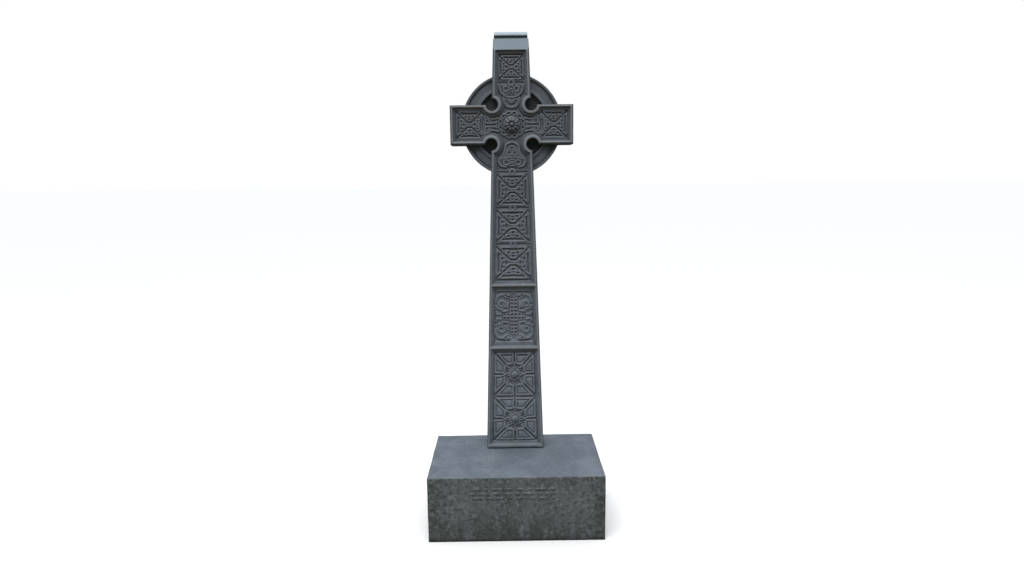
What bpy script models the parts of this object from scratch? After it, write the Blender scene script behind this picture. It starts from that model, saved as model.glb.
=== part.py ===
"""Celtic cross gravestone: a carved granite cross that stands on a plain granite base block.

Metres, +Z up. The carved front faces -Y, and the origin is the middle of the base block's underside.
"""

import math

import bmesh
import bpy
from mathutils import Matrix, Vector

# Base block
BASE_WIDTH = 1.067
BASE_DEPTH = 0.700
BASE_HEIGHT = 0.406
BASE_ARRIS = 0.009

# Cross: heights run up from the bed joint, widths are those of the front view
FOOT_WIDTH = 0.373
TOP_WIDTH = 0.213
CROSS_DEPTH = 0.200
FOOT_SETBACK = 0.445
JOINT_GAP = 0.0003
HEAD_CENTRE = 2.076
TOP_ARM_LENGTH = 0.556
ARM_SPAN = 0.756
ARM_HEIGHT = 0.239
ARMPIT_RADIUS = 0.036
ARMPIT_REBATE = 0.001

# Ring of the head, and the thinner web that closes the gaps inside it
RING_RADIUS = 0.310
RING_WIDTH = 0.086
RING_DEPTH = 0.124
RING_FILLET = 0.015
RING_CHANNEL = 0.009
WEB_DEPTH = 0.060

# Cap: a weathered slope, a throat and a narrower ridge that slopes back
CAP_HEIGHT = 0.119
CAP_SLOPE_HEIGHT = 0.076
CAP_SLOPE_RUN = 0.052
CAP_THROAT_HEIGHT = 0.014
CAP_THROAT_DEPTH = 0.010
RIDGE_INSET = 0.005
RIDGE_FACE = 0.006
RIDGE_SLOPE_RUN = 0.018

# Mouldings round the sunk panels
REBATE = 0.006
REBATE_DEPTH = 0.010
RIM = 0.017
COVE = 0.019
SINK = 0.016
FOOT_BAND = 0.045
RAY_PANEL = 0.601
RAY_FILLET = 0.056
FIGURE_PANEL = 0.351
FIGURE_FILLET = 0.054
SIDE_RIM = 0.035
SIDE_SINK = 0.006
SIDE_PANEL_START = 0.090

# Carving in the sunk panels
CARVING_DEPTH = 0.010
GROOVE = 0.009
PIT = 0.0075
BOSS_RADIUS = 0.054
BOSS_PROUD = 0.020
RAY_BOSS_RADIUS = 0.028
RAY_BOSS_PROUD = 0.014
LATTICE_BAR = 0.052
COIL_CORE = 0.010
COIL_STEP = 0.0035
ARCH_HALF_WIDTH = 0.050
ARCH_RISE = 0.044
ARCH_DROP = 0.014
BOWL_HALF_WIDTH = 0.045
BOWL_RISE = 0.040
BOWL_LIFT = 0.012
TOP_LINK_RISE = 0.024
SQUARE_STRETCH = (0.975, 0.985, 1)

# Rows of shallow raised strokes on the base block, where an inscription would be
STROKE_ROWS = 3
STROKE_ROW_LENGTH = 0.540
STROKE_PITCH = 0.028
STROKE_THICKNESS = 0.011
STROKE_PROUD = 0.004
STROKE_GAP = 0.014
STROKE_TOP_MARGIN = 0.075
STROKE_LENGTHS = (0.058, 0.030, 0.074, 0.042)

# Fineness of round forms
ARC_STEPS = 9
RING_SIDES = 48
CUT_CLEARANCE = 0.02
WELD = 0.00001

CROSS_HEIGHT = HEAD_CENTRE + TOP_ARM_LENGTH
CROSS_FRONT = -BASE_DEPTH / 2 + FOOT_SETBACK
CROSS_MIDDLE = CROSS_FRONT + CROSS_DEPTH / 2
BED = BASE_HEIGHT + JOINT_GAP
FIELD = CROSS_FRONT + SINK
ARM_UNDERSIDE = HEAD_CENTRE - ARM_HEIGHT / 2
ARM_TOP = HEAD_CENTRE + ARM_HEIGHT / 2
CAP_START = CROSS_HEIGHT - CAP_HEIGHT
INNER_EDGE = RIM + COVE


def clear_scene():
    """Removes whatever the file holds, so that only this part is left."""
    for old in list(bpy.data.objects):
        bpy.data.objects.remove(old, do_unlink=True)
    for old in list(bpy.data.collections):
        bpy.data.collections.remove(old)


def new_collection(name, parent=None):
    collection = bpy.data.collections.new(name)
    (parent or bpy.context.scene.collection).children.link(collection)
    return collection


def granite(name, colour, roughness):
    """A plain stone material."""
    material = bpy.data.materials.new(name)
    material.use_nodes = True
    shader = material.node_tree.nodes["Principled BSDF"]
    shader.inputs["Base Color"].default_value = (*colour, 1)
    shader.inputs["Roughness"].default_value = roughness
    shader.inputs["Metallic"].default_value = 0
    return material


def object_from(bm, name, collection):
    """An object in a collection, holding the mesh that has been built in bm."""
    mesh = bpy.data.meshes.new(name)
    bm.to_mesh(mesh)
    bm.free()
    made = bpy.data.objects.new(name, mesh)
    collection.objects.link(made)
    return made


def flat_solid(name, outlines, front, back, collection):
    """Flat outlines of (x, height) points in the plane of the cross's face, filled between two depths.

    An outline inside another one is a hole.
    """
    curve = bpy.data.curves.new(name, "CURVE")
    curve.dimensions = "2D"
    curve.fill_mode = "BOTH"
    curve.extrude = (back - front) / 2
    for outline in outlines:
        spline = curve.splines.new("POLY")
        spline.points.add(len(outline) - 1)
        for point, (x, height) in zip(spline.points, outline):
            point.co = (x, height, 0, 1)
        spline.use_cyclic_u = True
    drawn = bpy.data.objects.new(name + "_outline", curve)
    drawn.rotation_euler = (math.radians(90), 0, 0)
    drawn.location = (0, (front + back) / 2, 0)
    collection.objects.link(drawn)
    bpy.context.view_layer.update()
    graph = bpy.context.evaluated_depsgraph_get()
    mesh = bpy.data.meshes.new_from_object(drawn.evaluated_get(graph))
    mesh.name = name
    bm = bmesh.new()
    bm.from_mesh(mesh)
    bmesh.ops.remove_doubles(bm, verts=bm.verts, dist=WELD)
    bmesh.ops.recalc_face_normals(bm, faces=bm.faces)
    bm.to_mesh(mesh)
    bm.free()
    solid = bpy.data.objects.new(name, mesh)
    solid.matrix_world = drawn.matrix_world
    collection.objects.link(solid)
    bpy.data.objects.remove(drawn, do_unlink=True)
    return solid


def loft(name, sections, collection):
    """A closed solid through sections of as many points each, given as (y, outline) pairs."""
    bm = bmesh.new()
    rings = [[bm.verts.new((x, y, height)) for x, height in outline] for y, outline in sections]
    for near, far in zip(rings, rings[1:]):
        for i in range(len(near)):
            following = (i + 1) % len(near)
            bm.faces.new((near[i], far[i], far[following], near[following]))
    bm.faces.new(rings[0])
    bm.faces.new(rings[-1])
    bmesh.ops.recalc_face_normals(bm, faces=bm.faces)
    return object_from(bm, name, collection)


def boolean(target, other, operation):
    """Adds a live Boolean modifier, and keeps the other object or the collection's out of the render."""
    modifier = target.modifiers.new(other.name, "BOOLEAN")
    modifier.operation = operation
    modifier.solver = "EXACT"
    if isinstance(other, bpy.types.Collection):
        modifier.operand_type = "COLLECTION"
        modifier.collection = other
        hidden = other.objects
    else:
        modifier.object = other
        hidden = [other]
    for piece in hidden:
        piece.hide_render = True
        piece.display_type = "WIRE"


def circle(radius, sides, centre=(0, 0), turn=0.0):
    """Points of a round outline."""
    return [
        (
            centre[0] + radius * math.cos(turn + 2 * math.pi * i / sides),
            centre[1] + radius * math.sin(turn + 2 * math.pi * i / sides),
        )
        for i in range(sides)
    ]


def strip(points, width):
    """Outline of a groove of one width along an open line of points."""
    line = [Vector(point) for point in points]
    left, right = [], []
    for i, point in enumerate(line):
        direction = (line[min(i + 1, len(line) - 1)] - line[max(i - 1, 0)]).normalized()
        side = Vector((-direction.y, direction.x)) * width / 2
        left.append(tuple(point + side))
        right.append(tuple(point - side))
    return left + right[::-1]


def cell(centre, half_width_here, up, down=None):
    """A placer: it turns shares of a cell's half sizes into a point on the cross's face."""
    down = up if down is None else down

    def at(across, along):
        return (centre[0] + across * half_width_here, centre[1] + along * (up if along > 0 else down))

    return at


def half_width(height):
    """Half the width of the tapered shaft and top arm, at a height above the bed joint."""
    return (FOOT_WIDTH + (TOP_WIDTH - FOOT_WIDTH) * height / CROSS_HEIGHT) / 2


def field_half_width(height):
    return half_width(height) - INNER_EDGE


def armpit(inset, widening, height, first, last):
    """The widened round bite at the right-hand corner of shaft and arm, whose sides are moved in."""
    radius = ARMPIT_RADIUS + widening
    lost = math.asin(inset / radius)
    first += math.copysign(lost, last - first)
    last -= math.copysign(lost, last - first)
    angles = [first + (last - first) * i / ARC_STEPS for i in range(ARC_STEPS + 1)]
    corner = half_width(height)
    return [(corner + radius * math.cos(a), height + radius * math.sin(a)) for a in angles]


def mirrored(right_side):
    """A whole outline from the points of its right-hand side, bottom to top."""
    return right_side + [(-x, height) for x, height in reversed(right_side)]


def cross_outline(inset, bottom, top, widening=None):
    """Outline of the cross between two heights, moved in by an inset; its bites may widen less."""
    widening = inset if widening is None else widening
    arm_end = ARM_SPAN / 2 - inset
    right_side = [(half_width(bottom) - inset, bottom)]
    right_side += armpit(inset, widening, ARM_UNDERSIDE, math.radians(270), 0)
    right_side += [(arm_end, ARM_UNDERSIDE + inset), (arm_end, ARM_TOP - inset)]
    right_side += armpit(inset, widening, ARM_TOP, 0, -math.radians(270))
    right_side += [(half_width(top) - inset, top)]
    return mirrored(right_side)


def body_outline():
    """Outline of the stone, whose ridge is narrower than the top arm."""
    outline = cross_outline(0, 0, CROSS_HEIGHT)
    ridge_start = CAP_START + CAP_SLOPE_HEIGHT
    right_side = outline[: len(outline) // 2 - 1]
    right_side += [(half_width(ridge_start), ridge_start)]
    right_side += [(half_width(ridge_start) - RIDGE_INSET, ridge_start)]
    right_side += [(half_width(CROSS_HEIGHT) - RIDGE_INSET, CROSS_HEIGHT)]
    return mirrored(right_side)


def shaft_outline(inset, bottom, top):
    return mirrored([(half_width(bottom) - inset, bottom), (half_width(top) - inset, top)])


def panel_spans():
    """Lowest and highest height of each sunk field: rays, figures and head."""
    rays = (FOOT_BAND, FOOT_BAND + RAY_PANEL)
    figures = (rays[1] + RAY_FILLET, rays[1] + RAY_FILLET + FIGURE_PANEL)
    head = (figures[1] + FIGURE_FILLET, CAP_START - COVE)
    return rays, figures, head


def panel_cutters(side, collection):
    """The sunk panels of one face, with sloped coves: side is -1 at the front and 1 at the back."""
    face = CROSS_MIDDLE + side * CROSS_DEPTH / 2
    spans = panel_spans()
    outlines = (shaft_outline, shaft_outline, cross_outline)
    for number, ((bottom, top), outline) in enumerate(zip(spans, outlines)):
        sections = []
        for share in (-CUT_CLEARANCE / SINK, 1):
            inset = RIM + COVE * share
            spread = COVE * (1 - share)
            sections.append((face - side * SINK * share, outline(inset, bottom - spread, top + spread)))
        loft(f"panel_{'front' if side < 0 else 'back'}_{number}", sections, collection)


def side_panels(collection):
    """A plain shallow panel down each side of the shaft."""
    low = SIDE_PANEL_START
    high = HEAD_CENTRE - RING_RADIUS - SIDE_RIM
    reach = CROSS_DEPTH / 2 - SIDE_RIM
    for side in (-1, 1):
        outline = [
            (side * (half_width(low) - SIDE_SINK), low),
            (side * (half_width(high) - SIDE_SINK), high),
            (side * (half_width(high) + CUT_CLEARANCE), high),
            (side * (half_width(low) + CUT_CLEARANCE), low),
        ]
        near, far = CROSS_MIDDLE - reach, CROSS_MIDDLE + reach
        flat_solid(f"side_panel_{side + 1}", [outline], near, far, collection)


def cap_cutter(side, collection):
    """What is cut away over the sloped cap, in its throat and over the ridge's slope."""
    face = CROSS_DEPTH / 2
    past = CUT_CLEARANCE
    slope = CAP_SLOPE_HEIGHT / CAP_SLOPE_RUN
    panel_top = CAP_START + CAP_SLOPE_HEIGHT
    ridge_face = face - CAP_SLOPE_RUN
    ridge_foot = panel_top + CAP_THROAT_HEIGHT
    ridge_slope = (CROSS_HEIGHT - ridge_foot - RIDGE_FACE) / RIDGE_SLOPE_RUN
    profile = [
        (face + past, CAP_START - past * slope),
        (ridge_face, panel_top),
        (ridge_face - CAP_THROAT_DEPTH, panel_top),
        (ridge_face - CAP_THROAT_DEPTH, ridge_foot),
        (ridge_face, ridge_foot),
        (ridge_face, ridge_foot + RIDGE_FACE),
        (ridge_face - RIDGE_SLOPE_RUN - past / ridge_slope, CROSS_HEIGHT + past),
        (face + past, CROSS_HEIGHT + past),
    ]
    bm = bmesh.new()
    reach = half_width(0) + past
    ends = []
    for x in (-reach, reach):
        ends.append([bm.verts.new((x, CROSS_MIDDLE + side * y, height)) for y, height in profile])
    for i in range(len(profile)):
        following = (i + 1) % len(profile)
        bm.faces.new((ends[0][i], ends[0][following], ends[1][following], ends[1][i]))
    bm.faces.new(ends[0])
    bm.faces.new(ends[1])
    bmesh.ops.recalc_face_normals(bm, faces=bm.faces)
    return object_from(bm, f"cap_cutter_{side + 1}", collection)


def ring(collection):
    """The ring of the head with the web inside it, and a sunk channel in its front and back faces."""
    inner = RING_RADIUS - RING_WIDTH
    centre = (0, HEAD_CENTRE)
    half = RING_DEPTH / 2
    rim = circle(RING_RADIUS, RING_SIDES, centre)
    solid = flat_solid("ring", [rim], CROSS_MIDDLE - half, CROSS_MIDDLE + half, collection)
    channel = [
        circle(RING_RADIUS - RING_FILLET, RING_SIDES, centre),
        circle(inner + RING_FILLET, RING_SIDES, centre),
    ]
    gap = [circle(inner, RING_SIDES, centre)]
    for side in (-1, 1):
        past = CROSS_MIDDLE + side * (half + CUT_CLEARANCE)
        sunk = (("channel", channel, half - RING_CHANNEL), ("gap", gap, WEB_DEPTH / 2))
        for name, outlines, floor in sunk:
            near, far = sorted((CROSS_MIDDLE + side * floor, past))
            cutter = flat_solid(f"ring_{name}_{side + 1}", outlines, near, far, collection)
            boolean(solid, cutter, "DIFFERENCE")
    return solid


def dome(bm, x, height, radius, proud):
    """Adds a flattened ball that stands proud of the rim, centred on the sunk field."""
    scale = Matrix.Diagonal((radius, SINK + proud, radius, 1))
    stand = Matrix.Rotation(math.radians(90), 4, "X")
    place = Matrix.Translation((x, FIELD, height))
    bmesh.ops.create_uvsphere(bm, u_segments=16, v_segments=8, radius=1, matrix=place @ scale @ stand)


def bosses(collection):
    """The boss of the head and the two bosses of the ray squares."""
    bm = bmesh.new()
    dome(bm, 0, HEAD_CENTRE, BOSS_RADIUS, BOSS_PROUD)
    for middle, _ in ray_squares():
        dome(bm, 0, middle, RAY_BOSS_RADIUS, RAY_BOSS_PROUD)
    return object_from(bm, "bosses", collection)


def saltire_square(at, pits=3):
    """Two bent grooves across a square, a slot along each edge, and pits in each of its triangles."""
    cut = []
    for up in (-1, 1):
        bend = [at(-0.52, 0.52 * up), at(-0.18, 0.15 * up), at(0.18, 0.15 * up), at(0.52, 0.52 * up)]
        cut.append(strip(bend, GROOVE))
        cut.append(strip([at(-0.58, 0.82 * up), at(0.58, 0.82 * up)], GROOVE))
        for side in (-1, 1):
            cut.append(strip([at(0.64 * side, 0.64 * up), at(0.94 * side, 0.91 * up)], GROOVE))
    for side in (-1, 1):
        cut.append(strip([at(0.86 * side, -0.58), at(0.86 * side, 0.58)], GROOVE))
    shares = ((0.40, 0), (0.62, 0.24), (0.62, -0.24)) if pits == 3 else ((0.52, 0),)
    for out, across in shares:
        for side in (-1, 1):
            cut.append(circle(PIT, 5, at(side * out, across)))
            cut.append(circle(PIT, 5, at(across, side * out)))
    return cut


def link(height):
    """The link between two squares: a holed roundel with a slot on each side of it."""
    at = cell((0, height), field_half_width(height), 1)
    cut = [circle(PIT, 8, (0, height))]
    for side in (-1, 1):
        cut.append(strip([at(0.32 * side, 0), at(0.98 * side, 0)], GROOVE))
    return cut


def bow(centre, radius_x, radius_z, first, last, steps):
    """Points along part of an oval, with the angles in degrees."""
    angles = [math.radians(first + (last - first) * i / steps) for i in range(steps + 1)]
    return [(centre[0] + radius_x * math.cos(a), centre[1] + radius_z * math.sin(a)) for a in angles]


def two_lobed_knot(at):
    """Pits and grooves of a knot with a loop on each side."""
    cut = [strip([at(0, 0.62), at(0, 0.12)], GROOVE), strip([at(0, -0.30), at(0, -0.85)], GROOVE * 0.8)]
    for side in (-1, 1):
        cut.append(circle(PIT, 5, at(0.52 * side, 0.10)))
        cut.append(strip([at(0.88 * side, 0.78), at(0.90 * side, 0.0), at(0.62 * side, -0.80)], GROOVE * 0.8))
        cut.append(strip([at(0.25 * side, 0.85), at(0.62 * side, 0.85)], GROOVE * 0.8))
    return cut


def triquetra(at):
    """Pits of a three-cornered knot: one in each lobe and one at each crossing."""
    cut = []
    for turn in (90, 210, 330):
        angle = math.radians(turn)
        cut.append(circle(PIT, 5, at(0.66 * math.cos(angle), 0.66 * math.sin(angle))))
        cut.append(circle(PIT * 0.7, 5, at(-0.34 * math.cos(angle), -0.34 * math.sin(angle))))
    return cut


def ray_squares():
    """Middle height and half height of the two ray squares, top one last."""
    bottom, top = panel_spans()[0]
    half = (top - bottom) / 4
    return (bottom + half, half), (top - half, half)


def rays(middle, half):
    """Eight grooves that run out from a boss, and a flat sunk field in each compartment between them."""
    cut = []
    at = cell((0, middle), field_half_width(middle), half)
    start = RAY_BOSS_RADIUS / half + 0.14
    for turn in range(0, 360, 45):
        angle = math.radians(turn)
        reach = 0.93 / max(abs(math.cos(angle)), abs(math.sin(angle)))
        across, along = math.cos(angle), math.sin(angle)
        cut.append(strip([at(start * across, start * along), at(reach * across, reach * along)], GROOVE))
    for side in (-1, 1):
        for up in (-1, 1):
            cut.append([at(0.80 * side, 0.16 * up), at(0.80 * side, 0.60 * up), at(0.38 * side, 0.20 * up)])
            cut.append([at(0.16 * side, 0.82 * up), at(0.58 * side, 0.82 * up), at(0.20 * side, 0.42 * up)])
    return cut


def lattice_cross(at, bar):
    """Small holes of a lattice cross, in pairs up its stem and along its arms."""
    cut = []
    for along in (-0.66, -0.49, -0.32, 0.32, 0.49, 0.66):
        for side in (-1, 1):
            x, height = at(0, along)
            cut.append(circle(PIT * 0.8, 4, (x + side * bar / 4, height), math.radians(45)))
    for across in (-0.42, -0.21, 0, 0.21, 0.42):
        for side in (-1, 1):
            x, height = at(across, 0)
            cut.append(circle(PIT * 0.8, 4, (x, height + side * bar / 4), math.radians(45)))
    return cut


def beast(at, side, up):
    """A curled beast in one corner of the figure panel: coiled body, eye, jaw, neck and tail."""
    centre = at(0.64 * side, 0.46 * up)
    turns = [math.radians(angle) for angle in range(-60, 361, 60)]
    coil = [
        (
            centre[0] + side * (COIL_CORE + COIL_STEP * i) * math.cos(angle),
            centre[1] + up * (COIL_CORE + COIL_STEP * i) * math.sin(angle),
        )
        for i, angle in enumerate(turns)
    ]
    cut = [strip(coil, GROOVE * 0.8)]
    cut.append(strip([at(0.29 * side, 0.24 * up), at(0.29 * side, 0.56 * up)], GROOVE * 0.8))
    cut.append(circle(PIT * 0.8, 5, at(0.88 * side, 0.70 * up)))
    cut.append(strip([at(0.70 * side, 0.80 * up), at(0.34 * side, 0.74 * up)], GROOVE * 0.8))
    cut.append(strip([at(0.90 * side, 0.12 * up), at(0.66 * side, 0.10 * up)], GROOVE * 0.8))
    return cut


def figure_panel():
    """The lattice cross with its four beasts, inside a slotted border."""
    bottom, top = panel_spans()[1]
    middle, half = (bottom + top) / 2, (top - bottom) / 2
    at = cell((0, middle), field_half_width(middle), half)
    cut = lattice_cross(at, LATTICE_BAR)
    for up in (-1, 1):
        for side in (-1, 1):
            cut.append(strip([at(0.10 * side, 0.92 * up), at(0.80 * side, 0.92 * up)], GROOVE * 0.8))
            cut += beast(at, side, up)
    return cut


def roundel_grooves(side, up):
    """Two curved grooves that follow the moulding of one armpit, beside the shaft and the arm."""
    height = HEAD_CENTRE + up * ARM_HEIGHT / 2
    radius = ARMPIT_RADIUS + INNER_EDGE + GROOVE * 0.8
    centre = (side * half_width(height), height)
    cut = []
    for first, last in ((200, 242), (110, 160)):
        line = bow(centre, side * radius, -up * radius, first, last, 4)
        cut.append(strip(line, GROOVE))
    return cut


def head_carving():
    """Knotwork of the head: its centre, its arms, its top arm and its neck."""
    centre = (0, HEAD_CENTRE)
    orbit = BOSS_RADIUS + PIT * 2.2
    cut = []
    for turn in range(8):
        angle = math.radians(22.5 + 45 * turn)
        cut.append(circle(PIT, 5, (orbit * math.cos(angle), HEAD_CENTRE + orbit * math.sin(angle))))
    half = ARM_HEIGHT / 2 - INNER_EDGE
    square = ARM_SPAN / 2 - INNER_EDGE - half
    for side in (-1, 1):
        cut += saltire_square(cell((side * square, HEAD_CENTRE), half, half), pits=1)
        start = square - half
        trumpet = cell(((start + orbit) / 2 * side, HEAD_CENTRE), side * (start - orbit) / 2, half)
        for up in (-1, 1):
            cut.append(circle(PIT, 5, trumpet(0.45, 0.36 * up)))
            cut.append(strip([trumpet(0.95, 0.13 * up), trumpet(-0.60, 0.13 * up)], GROOVE * 0.6))
            cut += roundel_grooves(side, up)
    low = ARM_TOP + ARMPIT_RADIUS
    high = panel_spans()[2][1]
    share = (high - low) / 3
    upper = high - share * 0.85
    cut += saltire_square(cell((0, upper), field_half_width(upper), share * 0.80, share * 0.88), pits=1)
    cut += link(upper - share)
    lobes = low + share * 0.62
    cut += two_lobed_knot(cell((0, lobes), field_half_width(lobes) * 0.8, share * 0.34))
    bowl = bow((0, ARM_TOP + BOWL_LIFT), BOWL_HALF_WIDTH, BOWL_RISE, 200, 340, 6)
    cut.append(strip(bowl, GROOVE * 0.8))
    cut.append(circle(PIT, 5, (0, ARM_TOP)))
    return cut


def shaft_carving():
    """Arch and knots of the neck, then three saltire squares joined by links."""
    bottom = panel_spans()[2][0]
    top_link = HEAD_CENTRE - RING_RADIUS + TOP_LINK_RISE
    arch = bow((0, ARM_UNDERSIDE - ARCH_DROP), ARCH_HALF_WIDTH, ARCH_RISE, 20, 160, 6)
    cut = [strip(arch, GROOVE * 0.8)]
    neck = ARM_UNDERSIDE - top_link
    for share, motif, half in ((0.42, triquetra, 0.22), (0.78, two_lobed_knot, 0.15)):
        height = ARM_UNDERSIDE - neck * share
        cut += motif(cell((0, height), field_half_width(height) * 0.86, neck * half))
    edge = top_link
    for number, stretch in enumerate(SQUARE_STRETCH):
        cut += link(edge)
        following = edge - (edge - bottom) / (len(SQUARE_STRETCH) - number) * stretch
        half = (edge - following) / 2
        middle = (edge + following) / 2
        cut += saltire_square(cell((0, middle), field_half_width(middle), half * 0.92))
        edge = following
    return cut


def carving(collection):
    """All the pits, slots and grooves of the front as one cutter."""
    outlines = head_carving() + shaft_carving() + figure_panel()
    for middle, half in ray_squares():
        outlines += rays(middle, half)
    return flat_solid("carving", outlines, FIELD - SINK / 2, FIELD + CARVING_DEPTH, collection)


def make_cross(parts, cutters, material):
    """The cross, carved from one stone."""
    half = CROSS_DEPTH / 2
    body_half = half - REBATE_DEPTH
    cross = flat_solid("cross", [body_outline()], CROSS_MIDDLE - body_half, CROSS_MIDDLE + body_half, parts)
    raised = cross_outline(REBATE, REBATE, CAP_START + CAP_SLOPE_HEIGHT / 2, ARMPIT_REBATE)
    face_slab = flat_solid("face_slab", [raised], CROSS_MIDDLE - half, CROSS_MIDDLE + half, cutters)
    boolean(cross, face_slab, "UNION")
    boolean(cross, ring(cutters), "UNION")
    hollows = new_collection("hollows", cutters)
    for side in (-1, 1):
        panel_cutters(side, hollows)
        cap_cutter(side, hollows)
    side_panels(hollows)
    boolean(cross, hollows, "DIFFERENCE")
    boolean(cross, carving(cutters), "DIFFERENCE")
    boolean(cross, bosses(cutters), "UNION")
    cross.data.materials.append(material)
    cross.location.z += BED
    for cutter in cutters.all_objects:
        cutter.location.z += BED
    return cross


def stroke_outlines():
    """Rows of short raised strokes, each row filled with lengths in turn."""
    outlines = []
    lean = STROKE_THICKNESS / 2
    for row in range(STROKE_ROWS):
        height = BASE_HEIGHT - STROKE_TOP_MARGIN - row * STROKE_PITCH
        x = -STROKE_ROW_LENGTH / 2
        number = row
        while True:
            length = STROKE_LENGTHS[number % len(STROKE_LENGTHS)]
            if x + length > STROKE_ROW_LENGTH / 2:
                break
            low, high = height - STROKE_THICKNESS / 2, height + STROKE_THICKNESS / 2
            outlines.append([(x, low), (x + length - lean, low), (x + length, high), (x + lean, high)])
            x += length + STROKE_GAP
            number += 1
    return outlines


def make_base(parts, cutters, material):
    """The base block, with worn upright and upper arrises and a flat bed."""
    bm = bmesh.new()
    size = Matrix.Diagonal((BASE_WIDTH, BASE_DEPTH, BASE_HEIGHT, 1))
    bmesh.ops.create_cube(bm, size=1, matrix=Matrix.Translation((0, 0, BASE_HEIGHT / 2)) @ size)
    worn = [edge for edge in bm.edges if max(v.co.z for v in edge.verts) > BASE_HEIGHT / 2]
    bmesh.ops.bevel(bm, geom=worn, offset=BASE_ARRIS, segments=2, profile=0.5, affect="EDGES")
    base = object_from(bm, "base_block", parts)
    front = -BASE_DEPTH / 2
    strokes = flat_solid("strokes", stroke_outlines(), front - STROKE_PROUD, front + STROKE_PROUD, cutters)
    boolean(base, strokes, "UNION")
    base.data.materials.append(material)
    return base


def main():
    clear_scene()
    parts = new_collection("celtic_cross_gravestone")
    cutters = new_collection("cutters")
    cutters.hide_render = True
    cross_stone = granite("carved_granite", (0.10, 0.115, 0.13), 0.85)
    base_stone = granite("base_granite", (0.12, 0.135, 0.14), 0.9)
    make_cross(parts, cutters, cross_stone)
    make_base(parts, new_collection("stroke_outlines"), base_stone)


main()
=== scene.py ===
"""Looks of the celtic cross gravestone: knotwork, mouldings and weathered granite over the frame's solids.

Metres, +Z up. The carved front faces -Y. Heights named here run up from the bed joint, as on the solid.
"""

import math

import bmesh
import bpy
import numpy as np
from mathutils import Matrix, Vector, noise


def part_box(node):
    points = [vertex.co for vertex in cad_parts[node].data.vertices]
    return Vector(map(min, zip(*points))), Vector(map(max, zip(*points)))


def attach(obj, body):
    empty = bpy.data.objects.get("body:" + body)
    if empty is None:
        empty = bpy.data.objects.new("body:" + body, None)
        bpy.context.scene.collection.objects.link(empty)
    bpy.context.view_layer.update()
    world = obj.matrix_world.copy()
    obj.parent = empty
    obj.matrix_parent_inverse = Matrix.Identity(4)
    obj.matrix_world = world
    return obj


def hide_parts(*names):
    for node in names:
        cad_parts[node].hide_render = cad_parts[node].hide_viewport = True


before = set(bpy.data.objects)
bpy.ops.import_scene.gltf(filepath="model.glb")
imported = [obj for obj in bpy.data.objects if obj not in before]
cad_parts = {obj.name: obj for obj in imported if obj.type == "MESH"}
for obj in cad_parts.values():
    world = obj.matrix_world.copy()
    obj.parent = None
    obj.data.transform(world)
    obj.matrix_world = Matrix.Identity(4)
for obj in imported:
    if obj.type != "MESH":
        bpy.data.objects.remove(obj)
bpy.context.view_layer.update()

CROSS_LOW, CROSS_HIGH = (Vector(corner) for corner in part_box("cross"))
BASE_LOW, BASE_HIGH = (Vector(corner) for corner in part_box("base_block"))

# Cross, as the solid has it
BED = CROSS_LOW.z
CROSS_HEIGHT = CROSS_HIGH.z - CROSS_LOW.z
ARM_SPAN = CROSS_HIGH.x - CROSS_LOW.x
CROSS_DEPTH = 0.200
BACK = CROSS_HIGH.y
FRONT = BACK - CROSS_DEPTH
MIDDLE = (FRONT + BACK) / 2
FOOT_WIDTH = 0.373
TOP_WIDTH = 0.213
HEAD_CENTRE = 2.076
ARM_HEIGHT = 0.239
ARMPIT_RADIUS = 0.036
ARMPIT_REBATE = 0.001
ARM_UNDERSIDE = HEAD_CENTRE - ARM_HEIGHT / 2
ARM_TOP = HEAD_CENTRE + ARM_HEIGHT / 2

# Ring of the head, and the thinner web inside it
RING_RADIUS = 0.310
RING_WIDTH = 0.086
RING_DEPTH = 0.124
RING_FILLET = 0.015
RING_CHANNEL = 0.009
RING_SLOPE = 0.006
RING_STEPS = 144
WEB_DEPTH = 0.060

# Cap
CAP_HEIGHT = 0.119
CAP_SLOPE_HEIGHT = 0.076
CAP_SLOPE_RUN = 0.052
CAP_THROAT_HEIGHT = 0.014
CAP_THROAT_DEPTH = 0.010
RIDGE_INSET = 0.005
RIDGE_FACE = 0.006
RIDGE_SLOPE_RUN = 0.018
CAP_START = CROSS_HEIGHT - CAP_HEIGHT

# Mouldings round the sunk panels
REBATE = 0.006
REBATE_DEPTH = 0.010
RIM = 0.017
COVE = 0.019
SINK = 0.016
INNER_EDGE = RIM + COVE
ROLL_DROP = 0.0035
ROLL_HALF = 0.0055
ROUND_RIM = 0.020
ROUND_ROLL_HALF = 0.010
ROUND_BLEND = 0.012
FOOT_BAND = 0.045
RAY_PANEL = 0.601
RAY_FILLET = 0.056
FIGURE_PANEL = 0.351
FIGURE_FILLET = 0.054
SIDE_RIM = 0.035
SIDE_SINK = 0.006
SIDE_RUN = 0.008
SIDE_PANEL_START = 0.090

# Relief
CARVING_DEPTH = 0.010
FIELD_EDGE_RUN = 0.003
FINE_RIBBON = 0.010
RIBBON = 0.011
BROAD_RIBBON = 0.013
SLOT = 0.009
FINE_SLOT = 0.008
PIT = 0.006
RIBBON_FLATNESS = 2.6
RIBBON_STEEPNESS = 0.6
STRAND_GAP = 0.003
STRAND_GAP_LEVEL = 0.35
OVER_REACH = 1.15
OWN_GAP = 1.5
BOSS_RADIUS = 0.054
BOSS_PROUD = 0.019
BOSS_LOBES = 5
RAY_BOSS_RADIUS = 0.025
RAY_BOSS_PROUD = 0.007
RAY_BOSS_LOBES = 3
BOSS_TWIST = 6.0
BOSS_RELIEF = 0.22
PLATEAU = 0.62
PLATE_EDGE = 0.003
WALL_REACH = 1.6
PIT_FLOOR = 0.45
SLOT_FLOOR = 0.35
HOLE_FLOOR = 0.6
LATTICE_WIDTH = 0.047
LATTICE_PITCH = 0.0232
LATTICE_ROWS = 10
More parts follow.
